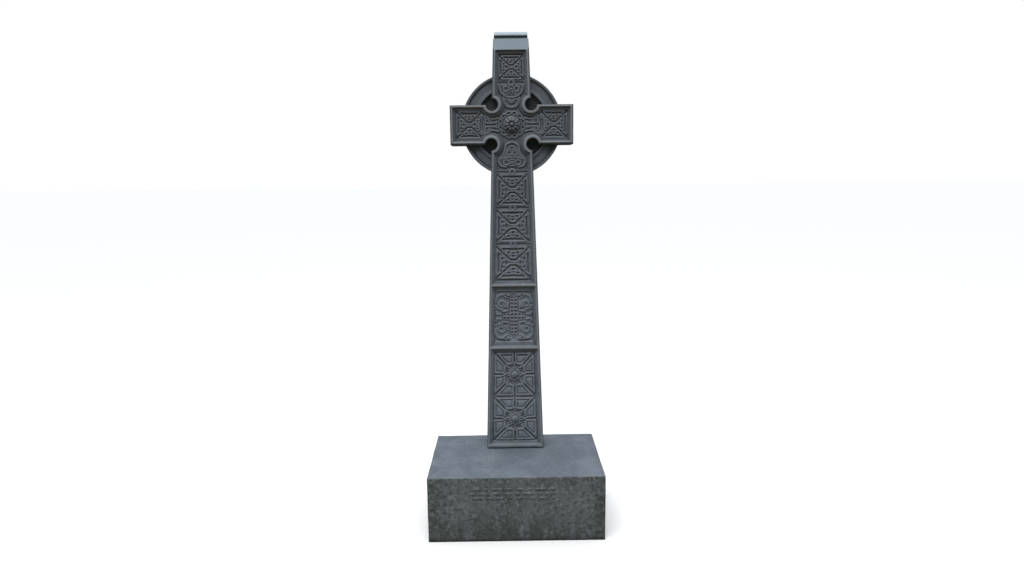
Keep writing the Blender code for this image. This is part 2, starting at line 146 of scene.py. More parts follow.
LATTICE_COLUMNS = 6
LATTICE_HOLE = 0.0072
LATTICE_MOAT = 0.006
LATTICE_LEVEL = 0.95
RAY_FIELD = 1.0
RAY_LINE = 0.006
RAY_RIBBON = 0.0125
RAY_SLOT = 0.009
RAY_START = 0.56
RAY_END = 0.98
RAY_PIT = 0.335
BEAST_RIBBON = 0.155
LIMB_RIBBON = 0.124
COIL_START = -210
COIL_TURN = 560
COIL_CORE = 0.05
COIL_GROWTH = 0.24
LINK_RADIUS = 0.023
LINK_CLEAR = LINK_RADIUS * 1.15
LINK_SLOT = 0.016
LINK_HALF = 0.014
SQUARE_SIZE = 0.112
SQUARE_RIBBON = 0.155
SQUARE_PIT = 0.0068
CROSS_SLOT = 0.012
END_SLOT = 0.014
SIDE_SLOT = 0.010
KNOT_RIBBON = 0.125
TOP_SQUARE_CENTRE = 2.417
TOP_SQUARE_DROP = 0.076
TOP_SQUARE_GAP = 0.008
TOP_LINK_RISE = 0.024
SQUARE_STRETCH = (0.975, 0.985, 1)
SQUARE_REACH = 0.90
ARM_RIBBON = 0.0125
LIP_RIBBON = 0.0095
HEAD_LOOPS = 12
HEAD_ORBIT = 0.0705
HEAD_SWING = 0.0105
HEAD_RIBBON = 0.0105
TINY = 1e-12
ARC_STEPS = 14
CIRCLE_STEPS = 24
CURVE_STEPS = 6
TREFOIL_STEPS = 42
LOOP_STEPS = 40
COIL_STEPS = 34
ORBIT_STEPS = 144

# Painted shade and painted highlight: hollows, coves, creases, undersides and the ring's hollows are painted
# darker, partly as dirt, and what stands out is painted paler, partly as wear.
# The stone is darker towards its top.
NARROW_DEPTH = 0.0042
NARROW_BLUR = 3
BROAD_DEPTH = 0.016
BROAD_BLUR = 12
COVE_SHADE = 1.1
ROLL_HIGHLIGHT = 1.3
REBATE_SHADE = 0.7
BOSS_DARKENING = 0.45
GAP_SHADE = 2.6
GAP_DEPTH = 0.060
# Share of the painted shade taken off the upper hollows, which are not under the arms.
UPPER_GAP_LIGHT = 0.55
SLOPE_SHADE = 1.6
OVERHANG = 0.080
OVERHANG_SHADE = 1.5
RING_HIGHLIGHT = 0.5
FACE_MARGIN = 0.002
DARKER_FROM = 0.5
DARKER_TO = 2.1
CAP_BLEND = 0.004

# Map on which the relief is worked out before the stone takes it
CELL = 0.0015
MAP_LEFT = -0.390
MAP_COLUMNS = round(-2 * MAP_LEFT / CELL) + 1
MAP_ROWS = round(CROSS_HEIGHT / CELL) + 2

# Fineness of the two stones' meshes
VOXEL = 0.0026
CROSS_TRIANGLES = 190000
BASE_TRIANGLES = 90000
CLOSE = 0.0001
CROSS_WEAR = 0.0005
CROSS_WEAR_WAVE = 0.045


def half_width(height):
    """Half the width of the tapered shaft and top arm."""
    return (FOOT_WIDTH + (TOP_WIDTH - FOOT_WIDTH) * height / CROSS_HEIGHT) / 2


def field_half_width(height):
    return half_width(height) - INNER_EDGE


def smooth_step(value):
    value = np.clip(value, 0, 1)
    return value * value * (3 - 2 * value)


def panel_spans():
    """Lowest and highest height of each sunk field: rays, figures and head."""
    rays = (FOOT_BAND, FOOT_BAND + RAY_PANEL)
    figures = (rays[1] + RAY_FILLET, rays[1] + RAY_FILLET + FIGURE_PANEL)
    head = (figures[1] + FIGURE_FILLET, CAP_START - COVE)
    return rays, figures, head


def from_sides(x, z):
    """How far points of the face lie inside the straight sides of the cross."""
    shaft_reach = half_width(z) - np.abs(x)
    arm_reach = np.minimum(ARM_SPAN / 2 - np.abs(x), ARM_HEIGHT / 2 - np.abs(z - HEAD_CENTRE))
    return np.maximum(shaft_reach, arm_reach)


def from_bites(x, z):
    """How far points of the face lie from the round bites at the corners of shaft and arms."""
    low, high = (np.hypot(np.abs(x) - half_width(level), z - level) for level in (ARM_UNDERSIDE, ARM_TOP))
    return np.minimum(low, high) - ARMPIT_RADIUS


def inside(x, z):
    """How far points of the face lie inside the outline of the cross."""
    return np.minimum(from_sides(x, z), from_bites(x, z))


def field_distance(x, z):
    """How far points lie inside the nearest sunk field, below zero on the mouldings round it."""
    reach = inside(x, z) - INNER_EDGE
    fields = [np.minimum(reach, np.minimum(z - bottom, top - z)) for bottom, top in panel_spans()]
    return np.maximum.reduce(fields)


def moulding_depth(x, z):
    """Depth of the roll, the cove and the flat field behind the front plane.

    Round the bites the roll is wider and starts at the very edge.
    """
    distance = field_distance(x, z)
    round_share = smooth_step((from_sides(x, z) - from_bites(x, z)) / ROUND_BLEND + 0.5)
    start = REBATE * (1 - round_share)
    cove_width = COVE - (ROUND_RIM - RIM) * round_share
    roll_half = ROLL_HALF + (ROUND_ROLL_HALF - ROLL_HALF) * round_share
    up = np.clip(-distance / cove_width, 0, 1)
    cove = ROLL_DROP + (SINK - ROLL_DROP) * np.sqrt(1 - up**2)
    from_rim = np.minimum(-distance - cove_width, inside(x, z) - start)
    roll = ROLL_DROP * np.clip(1 - from_rim / roll_half, 0, 1) ** 2
    return np.where(distance > -cove_width, cove, roll)


class Relief:
    """Heights of the carving over its ground, on a map of the front."""

    def __init__(self):
        self.height = np.zeros((MAP_ROWS, MAP_COLUMNS))
        self.x = MAP_LEFT + CELL * np.arange(MAP_COLUMNS)
        self.z = CELL * np.arange(MAP_ROWS)

    def window(self, points, margin):
        """The part of the map round some points: its slices and its coordinates."""
        across = [point[0] for point in points]
        along = [point[1] for point in points]
        first = max(0, int((min(across) - margin - MAP_LEFT) / CELL))
        last = min(MAP_COLUMNS, int((max(across) + margin - MAP_LEFT) / CELL) + 2)
        low = max(0, int((min(along) - margin) / CELL))
        high = min(MAP_ROWS, int((max(along) + margin) / CELL) + 2)
        x, z = np.meshgrid(self.x[first:last], self.z[low:high])
        return (slice(low, high), slice(first, last)), x, z

    def raise_to(self, place, height):
        self.height[place] = np.maximum(self.height[place], height)

    def cut(self, place, away, flat, depth=1.0):
        """Cuts to a flat floor, with a soft wall that starts where away is the flat share."""
        floor = CARVING_DEPTH * (1 - depth) + CARVING_DEPTH * depth * smooth_step(away - flat)
        self.height[place] = np.minimum(self.height[place], floor)

    def ribbon(self, line, width):
        """A rounded ribbon along a line of points."""
        place, x, z = self.window(line, width)
        self.raise_to(place, CARVING_DEPTH * ribbon_profile(distance_from(line, x, z), width))

    def cross_over(self, line, centre, width):
        """Draws a ribbon once more where it passes over another, with a gap on each side of it."""
        place, x, z = self.window([centre], width * OVER_REACH + STRAND_GAP)
        away = distance_from(line, x, z)
        near = np.hypot(x - centre[0], z - centre[1]) < width * OVER_REACH
        redrawn = near & (away < width / 2 + STRAND_GAP)
        shape = CARVING_DEPTH * ribbon_profile(away, width)
        gap = np.minimum(self.height[place], CARVING_DEPTH * STRAND_GAP_LEVEL)
        patch = np.where(away < width / 2, np.maximum(shape, gap), gap)
        self.height[place] = np.where(redrawn, patch, self.height[place])

    def drill(self, centre, radius, depth=1.0):
        """A round pit."""
        place, x, z = self.window([centre], radius * WALL_REACH)
        self.cut(place, np.hypot(x - centre[0], z - centre[1]) / radius, PIT_FLOOR, depth)

    def slot(self, line, width, depth=1.0):
        """A groove along a line of points."""
        place, x, z = self.window(line, width)
        self.cut(place, distance_from(line, x, z) / (width / 2), SLOT_FLOOR, depth)

    def plate(self, outline, top):
        """A flat raised field with soft edges inside an outline."""
        place, x, z = self.window(outline, 0)
        within = np.zeros(x.shape, dtype=bool)
        for (ax, az), (bx, bz) in zip(outline, outline[1:] + outline[:1]):
            if az != bz:
                crossing = (az > z) != (bz > z)
                within ^= crossing & (x < (bx - ax) * (z - az) / (bz - az) + ax)
        away = distance_from(outline + outline[:1], x, z)
        self.raise_to(place, np.where(within, CARVING_DEPTH * top * smooth_step(away / PLATE_EDGE), 0))

    def clear(self, outline):
        """Takes away what stands inside a convex outline, given anticlockwise."""
        place, x, z = self.window(outline, 0)
        within = np.ones(x.shape, dtype=bool)
        for (ax, az), (bx, bz) in zip(outline, outline[1:] + outline[:1]):
            within &= (bx - ax) * (z - az) >= (bz - az) * (x - ax)
        self.height[place][within] = 0

    def hole(self, centre, half):
        """A square pit."""
        place, x, z = self.window([centre], half * WALL_REACH)
        self.cut(place, np.maximum(np.abs(x - centre[0]), np.abs(z - centre[1])) / half, HOLE_FLOOR)

    def dome(self, centre, radius, proud, lobes):
        """A boss that stands out past the rim, with worn interlace over it."""
        place, x, z = self.window([centre], radius)
        across, along = x - centre[0], z - centre[1]
        share = np.clip(np.hypot(across, along) / radius, 0, 1)
        angle = lobes * np.arctan2(along, across)
        woven = np.cos(angle + BOSS_TWIST * share) * np.cos(angle - BOSS_TWIST * share)
        form = np.sqrt(1 - share**2) * (1 - BOSS_RELIEF * (1 - woven) * smooth_step(share * 4))
        self.raise_to(place, (CARVING_DEPTH + SINK + proud) * form)

    def weave(self, strands):
        """Draws strands given as (line, width) pairs, which pass over and under each other in turn."""
        for line, width in strands:
            self.ribbon(line, width)
        for line, width, centre in overs(strands):
            self.cross_over(line, centre, width)


def ribbon_profile(away, width):
    """Height share of a worn rounded ribbon at a distance from its middle line."""
    share = np.clip(away / (width / 2), 0, 1)
    return (1 - share**RIBBON_FLATNESS) ** RIBBON_STEEPNESS


def distance_from(line, x, z):
    """Distance of the map's cells from a line of points."""
    best = np.full(x.shape, np.inf)
    for (ax, az), (bx, bz) in zip(line, line[1:]):
        run_x, run_z = bx - ax, bz - az
        share = np.clip(((x - ax) * run_x + (z - az) * run_z) / (run_x**2 + run_z**2 + TINY), 0, 1)
        best = np.minimum(best, np.hypot(x - ax - share * run_x, z - az - share * run_z))
    return best


def crossings(first, second):
    """Where two lines of points cross: pairs of positions along them, and the points."""
    found = []
    one = np.array(first)
    two = np.array(second)
    for i in range(len(one) - 1):
        run = one[i + 1] - one[i]
        runs = two[1:] - two[:-1]
        offset = two[:-1] - one[i]
        cross = run[0] * runs[:, 1] - run[1] * runs[:, 0]
        cross = np.where(np.abs(cross) < TINY, np.inf, cross)
        t = (offset[:, 0] * runs[:, 1] - offset[:, 1] * runs[:, 0]) / cross
        u = (offset[:, 0] * run[1] - offset[:, 1] * run[0]) / cross
        for j in np.nonzero((t >= 0) & (t < 1) & (u >= 0) & (u < 1))[0]:
            found.append((i + t[j], j + u[j], tuple(one[i] + t[j] * run)))
    return found


def overs(strands):
    """The strand that lies on top at each crossing, so that each strand goes over and under in turn."""
    meetings = []
    for i, (first, _) in enumerate(strands):
        for j in range(i, len(strands)):
            for here, there, centre in crossings(first, strands[j][0]):
                if i != j or OWN_GAP < there - here < len(first) - 1 - OWN_GAP:
                    meetings.append({"ends": ((i, here), (j, there)), "centre": centre, "over": None})
    for i in range(len(strands)):
        passes = []
        for meeting in meetings:
            passes += [(end[1], meeting, k) for k, end in enumerate(meeting["ends"]) if end[0] == i]
        passes.sort(key=lambda entry: entry[0])
        on_top = True
        for _, meeting, k in passes:
            if meeting["over"] is None:
                meeting["over"] = k if on_top else 1 - k
            else:
                on_top = meeting["over"] == k
            on_top = not on_top
    drawn = []
    for meeting in meetings:
        strand = meeting["ends"][meeting["over"]][0]
        drawn.append((strands[strand][0], strands[strand][1], meeting["centre"]))
    return drawn


def smooth(points):
    """A smooth line through points."""
    line = [Vector(point) for point in points]
    line = [line[0] * 2 - line[1]] + line + [line[-1] * 2 - line[-2]]
    drawn = []
    for before, start, end, after in zip(line, line[1:], line[2:], line[3:]):
        second = 2 * before - 5 * start + 4 * end - after
        third = 3 * start - before - 3 * end + after
        for i in range(CURVE_STEPS):
            t = i / CURVE_STEPS
            drawn.append(tuple(0.5 * (2 * start + (end - before) * t + second * t**2 + third * t**3)))
    drawn.append(tuple(line[-2]))
    return drawn


def mirrored(points):
    """The same line on the other side of the middle, from its end to its start."""
    return [(-x, z) for x, z in reversed(points)]


def cell(centre, half_across, up, down=None):
    """A placer: it turns shares of a cell's half sizes into a point of the front.

    The half width may be a function of the height, so that a motif follows the taper.
    """
    down = up if down is None else down

    def at(across, along):
        height = centre[1] + along * (up if along > 0 else down)
        half = half_across(height) if callable(half_across) else half_across
        return (centre[0] + across * half, height)

    return at


def arc(centre, radius_x, radius_z, first, last, steps=ARC_STEPS):
    """Points along part of an oval, with the angles in degrees."""
    angles = [math.radians(first + (last - first) * i / steps) for i in range(steps + 1)]
    return [(centre[0] + radius_x * math.cos(a), centre[1] + radius_z * math.sin(a)) for a in angles]


def circle(centre, radius, steps):
    return arc(centre, radius, radius, 0, 360, steps)


def turned(point, quarter):
    """A point of a square's shares turned by quarters."""
    for _ in range(quarter):
        point = (-point[1], point[0])
    return point


def trefoil(centre, radius_across, radius_along):
    """A three-lobed knot's line in shares, with one lobe downwards."""
    line = []
    for i in range(TREFOIL_STEPS + 1):
        t = 2 * math.pi * i / TREFOIL_STEPS
        across = (math.sin(t) + 2 * math.sin(2 * t)) / 3
        along = (math.cos(t) - 2 * math.cos(2 * t)) / 3
        line.append((centre[0] + radius_across * across, centre[1] + radius_along * along))
    return line


def saltire_square(relief, at, size):
    """Four knotted triangles in a square, with ribbons that cross from one triangle to the next."""
    relief.plate([at(x, z) for x, z in rectangle(-0.98, -0.98, 0.98, 0.98)], PLATEAU)
    loop = [(0.20, 0.068), (0.55, 0.40), (0.615, 0.76), (0.73, 0.92)]
    loop += mirrored(loop)
    lobe = [(0.11, 0.27), (0.40, 0.55), (0.76, 0.615), (0.92, 0.73)]
    lobes = lobe + [(x, -z) for x, z in reversed(lobe)]
    lobes += mirrored(lobes)
    strands = [([at(x, z * up) for x, z in loop + loop[:1]], SQUARE_RIBBON * size) for up in (1, -1)]
    strands.append(([at(x, z) for x, z in lobes + lobes[:1]], SQUARE_RIBBON * size))
    for quarters in range(4):
        knot = [at(*turned(point, quarters)) for point in trefoil((0, 0.56), 0.44, 0.24)]
        strands.append((knot, KNOT_RIBBON * size))
    relief.weave(strands)
    scale = size / SQUARE_SIZE
    for up in (1, -1):
        bend = [(-0.55, 0.55), (-0.15, 0.165), (0.15, 0.165), (0.55, 0.55)]
        relief.slot([at(x, z * up) for x, z in bend], CROSS_SLOT * scale)
        relief.slot([at(-0.58, 0.825 * up), at(0, 0.785 * up), at(0.58, 0.825 * up)], END_SLOT * scale)
        relief.slot([at(0.83 * up, -0.55), at(0.82 * up, 0), at(0.83 * up, 0.55)], SIDE_SLOT * scale)
        for side in (1, -1):
            relief.slot([at(0.64 * side, 0.64 * up), at(0.95 * side, 0.95 * up)], CROSS_SLOT * scale)
    for quarters in range(4):
        for hole in ((0, 0.40), (0.26, 0.61), (-0.26, 0.61)):
            relief.drill(at(*turned(hole, quarters)), SQUARE_PIT * scale)


def link(relief, height):
    """The holed roundel that links two squares, with a slot on each side of it."""
    size = field_half_width(height)
    relief.plate(rectangle(-size, height - LINK_HALF, size, height + LINK_HALF), PLATEAU)
    for side in (-1, 1):
        relief.slot([(side * LINK_CLEAR, height), (side * size * 0.97, height)], LINK_SLOT)
    relief.ribbon(circle((0, height), LINK_RADIUS * 0.66, CIRCLE_STEPS), LINK_RADIUS * 0.72)
    relief.drill((0, height), LINK_RADIUS * 0.42, 0.8)


def two_lobed_knot(relief, centre, half_across, half_along):
    """A knot with a loop on each side."""
    x, z = centre
    line = []
    for i in range(LOOP_STEPS + 1):
        t = 2 * math.pi * i / LOOP_STEPS
        line.append((x + half_across * 0.74 * math.sin(t), z + half_along * 0.62 * math.sin(2 * t)))
    middle_loop = arc(centre, half_across * 0.30, half_along * 0.80, 0, 360, CIRCLE_STEPS)
    relief.weave([(line, 0.012), (middle_loop, FINE_RIBBON)])
    for side in (-1, 1):
        relief.drill((x + side * half_across * 0.46, z), 0.0075)


def plated_band(relief, edge):
    """A raised band that reaches as far to the left as to the right, from the points of its right edge."""
    relief.plate(edge + mirrored(edge), PLATEAU)


def neck(relief):
    """The arch under the head with its three-cornered knot, widening to a knot with two loops."""
    bell = [(0.0, 1.972), (0.030, 1.960), (0.045, 1.936), (0.048, 1.912), (0.056, 1.889), (0.078, 1.871)]
    bell += [(0.084, 1.850), (0.070, 1.828), (0.040, 1.820)]
    plated_band(relief, bell)
    right = smooth(bell)
    knot = [(x, -z) for x, z in trefoil((0, -1.916), 0.036, 0.036)]
    bar = smooth([(-0.070, 1.868), (0, 1.880), (0.070, 1.868)])
    relief.weave([(mirrored(right) + right[1:], BROAD_RIBBON), (knot, FINE_RIBBON), (bar, RIBBON)])
    two_lobed_knot(relief, (0, 1.847), 0.074, 0.024)
    relief.slot(arc((0, 1.930), 0.032, 0.026, 25, 155), SLOT)
    for side in (-1, 1):
        relief.drill((0.017 * side, 1.905), PIT)
        relief.slot([(0.064 * side, 1.856), (0.060 * side, 1.836)], FINE_SLOT)
    relief.drill((0, 1.934), PIT)


def top_knots(relief):
    """The shield under the top arm's square, and the bowl-shaped ribbon over the head's boss."""
    shield = [(0.0, 2.238), (0.035, 2.245), (0.060, 2.264), (0.071, 2.290), (0.075, 2.316)]
    bowl = [(0.0, 2.178), (0.028, 2.185), (0.043, 2.207), (0.048, 2.238)]
    plated_band(relief, shield)
    plated_band(relief, bowl)
    halves = [smooth(points) for points in (shield, bowl)]
    relief.weave([(mirrored(right) + right[1:], BROAD_RIBBON) for right in halves])
    two_lobed_knot(relief, (0, 2.288), 0.066, 0.024)
    relief.slot(arc((0, 2.226), 0.031, 0.031, 195, 345), SLOT)
    relief.ribbon(smooth([(-0.018, 2.228), (0, 2.208), (0.018, 2.228)]), RIBBON)
    for side in (-1, 1):
        relief.slot([(0.056 * side, 2.300), (0.052 * side, 2.272)], FINE_SLOT)
        relief.drill((0.012 * side, 2.252), PIT)
    relief.drill((0, 2.264), PIT)


def rectangle(left, low, right, high):
    return [(left, low), (right, low), (right, high), (left, high)]


def lattice_cross(relief, middle):
    """A flat cross with two rows of square holes along its stem and its bar."""
    half = LATTICE_WIDTH / 2
    high = LATTICE_PITCH * (LATTICE_ROWS / 2) + LATTICE_MOAT / 2
    reach = LATTICE_PITCH * (LATTICE_COLUMNS / 2)
    for moat in (LATTICE_MOAT, 0):
        for wide, tall in ((half + moat, high + moat), (reach + moat, half + moat)):
            outline = rectangle(-wide, middle - tall, wide, middle + tall)
            if moat:
                relief.clear(outline)
            else:
                relief.plate(outline, LATTICE_LEVEL)
    for row in range(LATTICE_ROWS):
        height = middle + LATTICE_PITCH * (row + 0.5 - LATTICE_ROWS / 2)
        columns = LATTICE_COLUMNS if abs(height - middle) < LATTICE_PITCH else 2
        for column in range(columns):
            relief.hole((LATTICE_PITCH * (column + 0.5 - columns / 2), height), LATTICE_HOLE)


def beast(relief, at, side, up, size):
    """A curled beast: coiled body, head with ear and jaws, leg and tail."""

    def corner(*points):
        return [at(x * side, z * up) for x, z in points]

    centre, eye, tail_pit = corner((0.64, 0.45), (0.42, 0.79), (0.93, 0.24))
    coil = []
    for i in range(COIL_STEPS + 1):
        share = i / COIL_STEPS
        angle = math.radians(COIL_START + COIL_TURN * share)
        radius = size * (COIL_CORE + COIL_GROWTH * share)
        coil.append((centre[0] + side * radius * math.cos(angle), centre[1] + up * radius * math.sin(angle)))
    neck_line = smooth(coil[-1:] + corner((0.90, 0.68), (0.70, 0.80), (0.38, 0.78)))
    tail = smooth(corner((0.93, 0.36), (0.88, 0.10), (0.62, 0.10)))
    leg = smooth(corner((0.60, 0.20), (0.36, 0.22), (0.30, 0.50)))
    width = BEAST_RIBBON * size
    limb = LIMB_RIBBON * size
    relief.weave([(coil, width), (neck_line, width), (tail, limb), (leg, limb)])
    relief.plate(corner((0.52, 0.88), (0.22, 0.84), (0.18, 0.72), (0.36, 0.66), (0.56, 0.72)), 1.0)
    relief.drill(eye, 0.0055)
    relief.slot(corner((0.16, 0.745), (0.36, 0.725)), 0.007)
    relief.slot(corner((0.34, 0.285), (0.52, 0.30)), 0.011)
    relief.drill(centre, PIT)
    relief.slot(corner((0.93, 0.84), (0.66, 0.905)), FINE_SLOT)
    relief.drill(tail_pit, PIT)


def figure_panel(relief):
    """The latticed cross with a beast in each corner, between a ribbon above and one below."""
    bottom, top = panel_spans()[1]
    middle, half = (bottom + top) / 2, (top - bottom) / 2
    size = field_half_width(middle)
    at = cell((0, middle), field_half_width, half)
    relief.plate([at(x, z) for x, z in rectangle(-0.96, -0.98, 0.96, 0.98)], PLATEAU * 0.6)
    for up in (-1, 1):
        for side in (-1, 1):
            beast(relief, at, side, up, size)
    lattice_cross(relief, middle)
    for up in (-1, 1):
        relief.ribbon([at(-0.93, 0.955 * up), at(0.93, 0.955 * up)], 0.10 * size)
        for side in (-1, 1):
            relief.slot([at(0.20 * side, 0.905 * up), at(0.74 * side, 0.905 * up)], SLOT)
        relief.drill(at(0, 0.80 * up), 0.008)


def ray_squares():
    """Middle height and half height of the two ray squares, top one last."""
    bottom, top = panel_spans()[0]
    half = (top - bottom) / 4
    return (bottom + half, half), (top - half, half)


def ray_square(relief, middle, half):
    """A boss, and eight compartments whose ribbons cross along the rays between them."""
    at = cell((0, middle), field_half_width, half)

    def compartments(points):
        """The same line in each of the eight compartments."""
        sides = [(quarters, side) for quarters in range(4) for side in (-1, 1)]
        return [[at(*turned((side * x, z), quarters)) for x, z in points] for quarters, side in sides]

    for field in compartments([(0.070, 0.44), (0.070, 0.925), (0.815, 0.925), (0.340, 0.370)]):
        relief.plate(field, RAY_FIELD)
    edge = [(-0.055, 0.24), (0, 0.42), (0.070, 0.57), (0.070, 0.925), (0.815, 0.925)]
    edge += [(0.435, 0.545), (0.315, 0.315), (0.20, 0.125)]
    relief.weave([(line, RAY_RIBBON) for line in compartments(edge)])
    groove = [(0.140, 0.54), (0.140, 0.855), (0.645, 0.855), (0.375, 0.555)]
    for line in compartments(groove + groove[:1]):
        relief.slot(line, RAY_LINE, 0.75)
    for eighth in range(8):
        angle = math.radians(45 * eighth)
        stretch = 1 / max(abs(math.cos(angle)), abs(math.sin(angle)))
        ray = [RAY_START * stretch**0.5, RAY_END * stretch]
        relief.slot([at(reach * math.cos(angle), reach * math.sin(angle)) for reach in ray], RAY_SLOT)
        relief.drill(at(RAY_PIT * math.cos(angle), RAY_PIT * math.sin(angle)), PIT)
    relief.ribbon(circle((0, middle), RAY_BOSS_RADIUS * 1.18, 32), 0.009)
    relief.dome((0, middle), RAY_BOSS_RADIUS, RAY_BOSS_PROUD, RAY_BOSS_LOBES)


def upper_slots(relief, middle, half):
    """The deep slots under the top edge of the upper ray square."""
    at = cell((0, middle), field_half_width, half)
    for side in (-1, 1):
        relief.slot([at(0.19 * side, 0.84), at(0.60 * side, 0.84)], 0.012)


def head_centre(relief):
    """The boss of the head in a ring of small loops."""
    relief.plate(arc((0, HEAD_CENTRE), 0.086, 0.086, 0, 354, 60), PLATEAU * 0.7)
    strands = []
    for sign in (-1, 1):
        line = []
        for i in range(ORBIT_STEPS + 1):
            angle = 2 * math.pi * i / ORBIT_STEPS
            radius = HEAD_ORBIT + sign * HEAD_SWING * math.sin(HEAD_LOOPS / 2 * angle)
            line.append((radius * math.cos(angle), HEAD_CENTRE + radius * math.sin(angle)))
        strands.append((line, HEAD_RIBBON))
    relief.weave(strands)
    for i in range(HEAD_LOOPS):
        angle = math.radians(360 / HEAD_LOOPS * (i + 0.5))
        relief.drill((HEAD_ORBIT * math.cos(angle), HEAD_CENTRE + HEAD_ORBIT * math.sin(angle)), 0.008)
    relief.dome((0, HEAD_CENTRE), BOSS_RADIUS, BOSS_PROUD, BOSS_LOBES)


def arms(relief):
    """A knotted square on each arm, and two curls that open like a trumpet between it and the centre."""
    half = ARM_HEIGHT / 2 - INNER_EDGE
    square = ARM_SPAN / 2 - INNER_EDGE - half
    band = [(0.184, 0.060), (0.150, 0.050), (0.118, 0.040), (0.086, 0.038)]
    edge = [(0.186, 0.060), (0.150, 0.046), (0.118, 0.034), (0.082, 0.040)]
    lip = [(0.088, 0.016), (0.122, 0.009), (0.156, 0.012), (0.160, 0.030), (0.143, 0.034), (0.140, 0.022)]
    for side in (-1, 1):
        saltire_square(relief, cell((side * square, HEAD_CENTRE), half, half), half)
        at = cell((0, HEAD_CENTRE), side, 1)
        relief.plate([at(x, z) for x, z in band] + [at(x, -z) for x, z in reversed(band)], PLATEAU)
        strands = []
        for up in (-1, 1):
            for points, width in ((edge, ARM_RIBBON), (lip, LIP_RIBBON)):
                strands.append((smooth([at(x, up * z) for x, z in points]), width))
        relief.weave(strands)
        relief.ribbon([at(0.190, -0.046), at(0.212, 0), at(0.190, 0.046)], 0.012)
        for up in (-1, 1):
            relief.drill(at(0.150, up * 0.024), 0.0055)
            relief.slot([at(0.116, up * 0.023), at(0.096, up * 0.028)], FINE_SLOT)
        relief.slot([at(0.176, 0.032), at(0.181, 0), at(0.176, -0.032)], 0.010)
        relief.slot([at(0.160, 0), at(0.100, 0)], SLOT)


def top_arm(relief):
    """A squashed knotted square and a link on the top arm."""
    up = panel_spans()[2][1] - TOP_SQUARE_GAP - TOP_SQUARE_CENTRE
    at = cell((0, TOP_SQUARE_CENTRE), field_half_width, up, TOP_SQUARE_DROP)
    saltire_square(relief, at, field_half_width(TOP_SQUARE_CENTRE))
    link(relief, TOP_SQUARE_CENTRE - TOP_SQUARE_DROP - LINK_SLOT)


def shaft(relief):
    """Three knotted squares joined by links."""
    bottom = panel_spans()[2][0]
    edge = HEAD_CENTRE - RING_RADIUS + TOP_LINK_RISE
    for number, stretch in enumerate(SQUARE_STRETCH):
        link(relief, edge)
        following = edge - (edge - bottom) / (len(SQUARE_STRETCH) - number) * stretch
        half = (edge - following) / 2 * SQUARE_REACH
        middle = (edge + following) / 2
        saltire_square(relief, cell((0, middle), field_half_width, half), field_half_width(middle))
        edge = following


def blurred(values, radius, rounds=2):
    """A map softened by running means, radius in cells."""
    for _ in range(rounds):
        for axis in (0, 1):
            margins = [(radius, radius) if k == axis else (0, 0) for k in (0, 1)]
            padded = np.pad(values, margins, mode="edge")
            total = np.zeros_like(values)
            for shift in range(2 * radius + 1):
                window = [slice(None), slice(None)]
                window[axis] = slice(shift, shift + values.shape[axis])
                total += padded[tuple(window)]
            values = total / (2 * radius + 1)
    return values


def front_maps():
    """Depth of the carved front behind its plane, and the painted shade of each place, partly dirt, with
    painted highlight below zero: front, then back.
    """
    relief = Relief()
    neck(relief)
    top_knots(relief)
    arms(relief)
    head_centre(relief)
    top_arm(relief)
    shaft(relief)
    figure_panel(relief)
    for middle, half in ray_squares():
        ray_square(relief, middle, half)
    upper_slots(relief, *ray_squares()[-1])
    x, z = np.meshgrid(relief.x, relief.z)
    distance = field_distance(x, z)
    carved = CARVING_DEPTH * smooth_step(distance / FIELD_EDGE_RUN) - relief.height
    depth = moulding_depth(x, z) + np.where(distance > 0, carved, 0)
    depth = blurred(depth, 1, 1)
    level = np.where(inside(x, z) > 0, depth, 0)
    # Painted shade where a place lies below its surroundings, painted highlight where it stands above them.
    narrow = (depth - blurred(level, NARROW_BLUR)) / NARROW_DEPTH
    broad = (depth - blurred(level, BROAD_BLUR)) / BROAD_DEPTH
    reach = inside(x, z)
    on_rim = distance < -COVE / 2
    on_boss = relief.height > CARVING_DEPTH + SINK / 2
    # Painted shade in the coves and in the crease by the rebate, painted highlight along the roll.
    cove = COVE_SHADE * smooth_step(1 + distance / (0.75 * COVE)) * (distance < 0)
    roll = ROLL_HIGHLIGHT * bump(reach - REBATE - ROLL_HALF, ROLL_HALF) * on_rim
    line = REBATE_SHADE * bump(reach - REBATE, REBATE / 2) * (from_bites(x, z) > REBATE * 2)
    moulding_shade = cove - roll + line
    # The bosses are painted darker all over, with stronger painted shade in their grooves.
    return depth, np.where(on_boss, narrow * 1.5 + BOSS_DARKENING, narrow + broad + moulding_shade), moulding_shade


def bump(away, spread):
    """A bell curve: 1 where away is 0."""
    return np.exp(-((away / spread) ** 2))


def ring_shade(x, depth, z):
    """Painted shade of the ring and the hollows inside it, at a depth behind the front or back face: the
    hollows painted dark, the lower ones darker, and the channel's outer slope and the parts just under the
    arms painted darker; the ring's edges get painted highlight.
    """
    radius = np.hypot(x, z - HEAD_CENTRE)
    inner = RING_RADIUS - RING_WIDTH
    hollow = GAP_SHADE * (radius < inner) * smooth_step(depth / GAP_DEPTH)
    hollow = hollow * (1 - UPPER_GAP_LIGHT * (z > HEAD_CENTRE))
    slope = SLOPE_SHADE * bump(radius - RING_RADIUS + RING_FILLET + RING_SLOPE, RING_SLOPE)
    rims = bump(radius - RING_RADIUS + RING_FILLET / 3, RING_FILLET / 3)
    rims = rims + bump(radius - inner - RING_FILLET / 2, RING_FILLET / 2)
    overhung = smooth_step(1 - (ARM_UNDERSIDE - z) / OVERHANG) * (z < ARM_UNDERSIDE)
    return hollow + slope - RING_HIGHLIGHT * rims + OVERHANG_SHADE * overhung


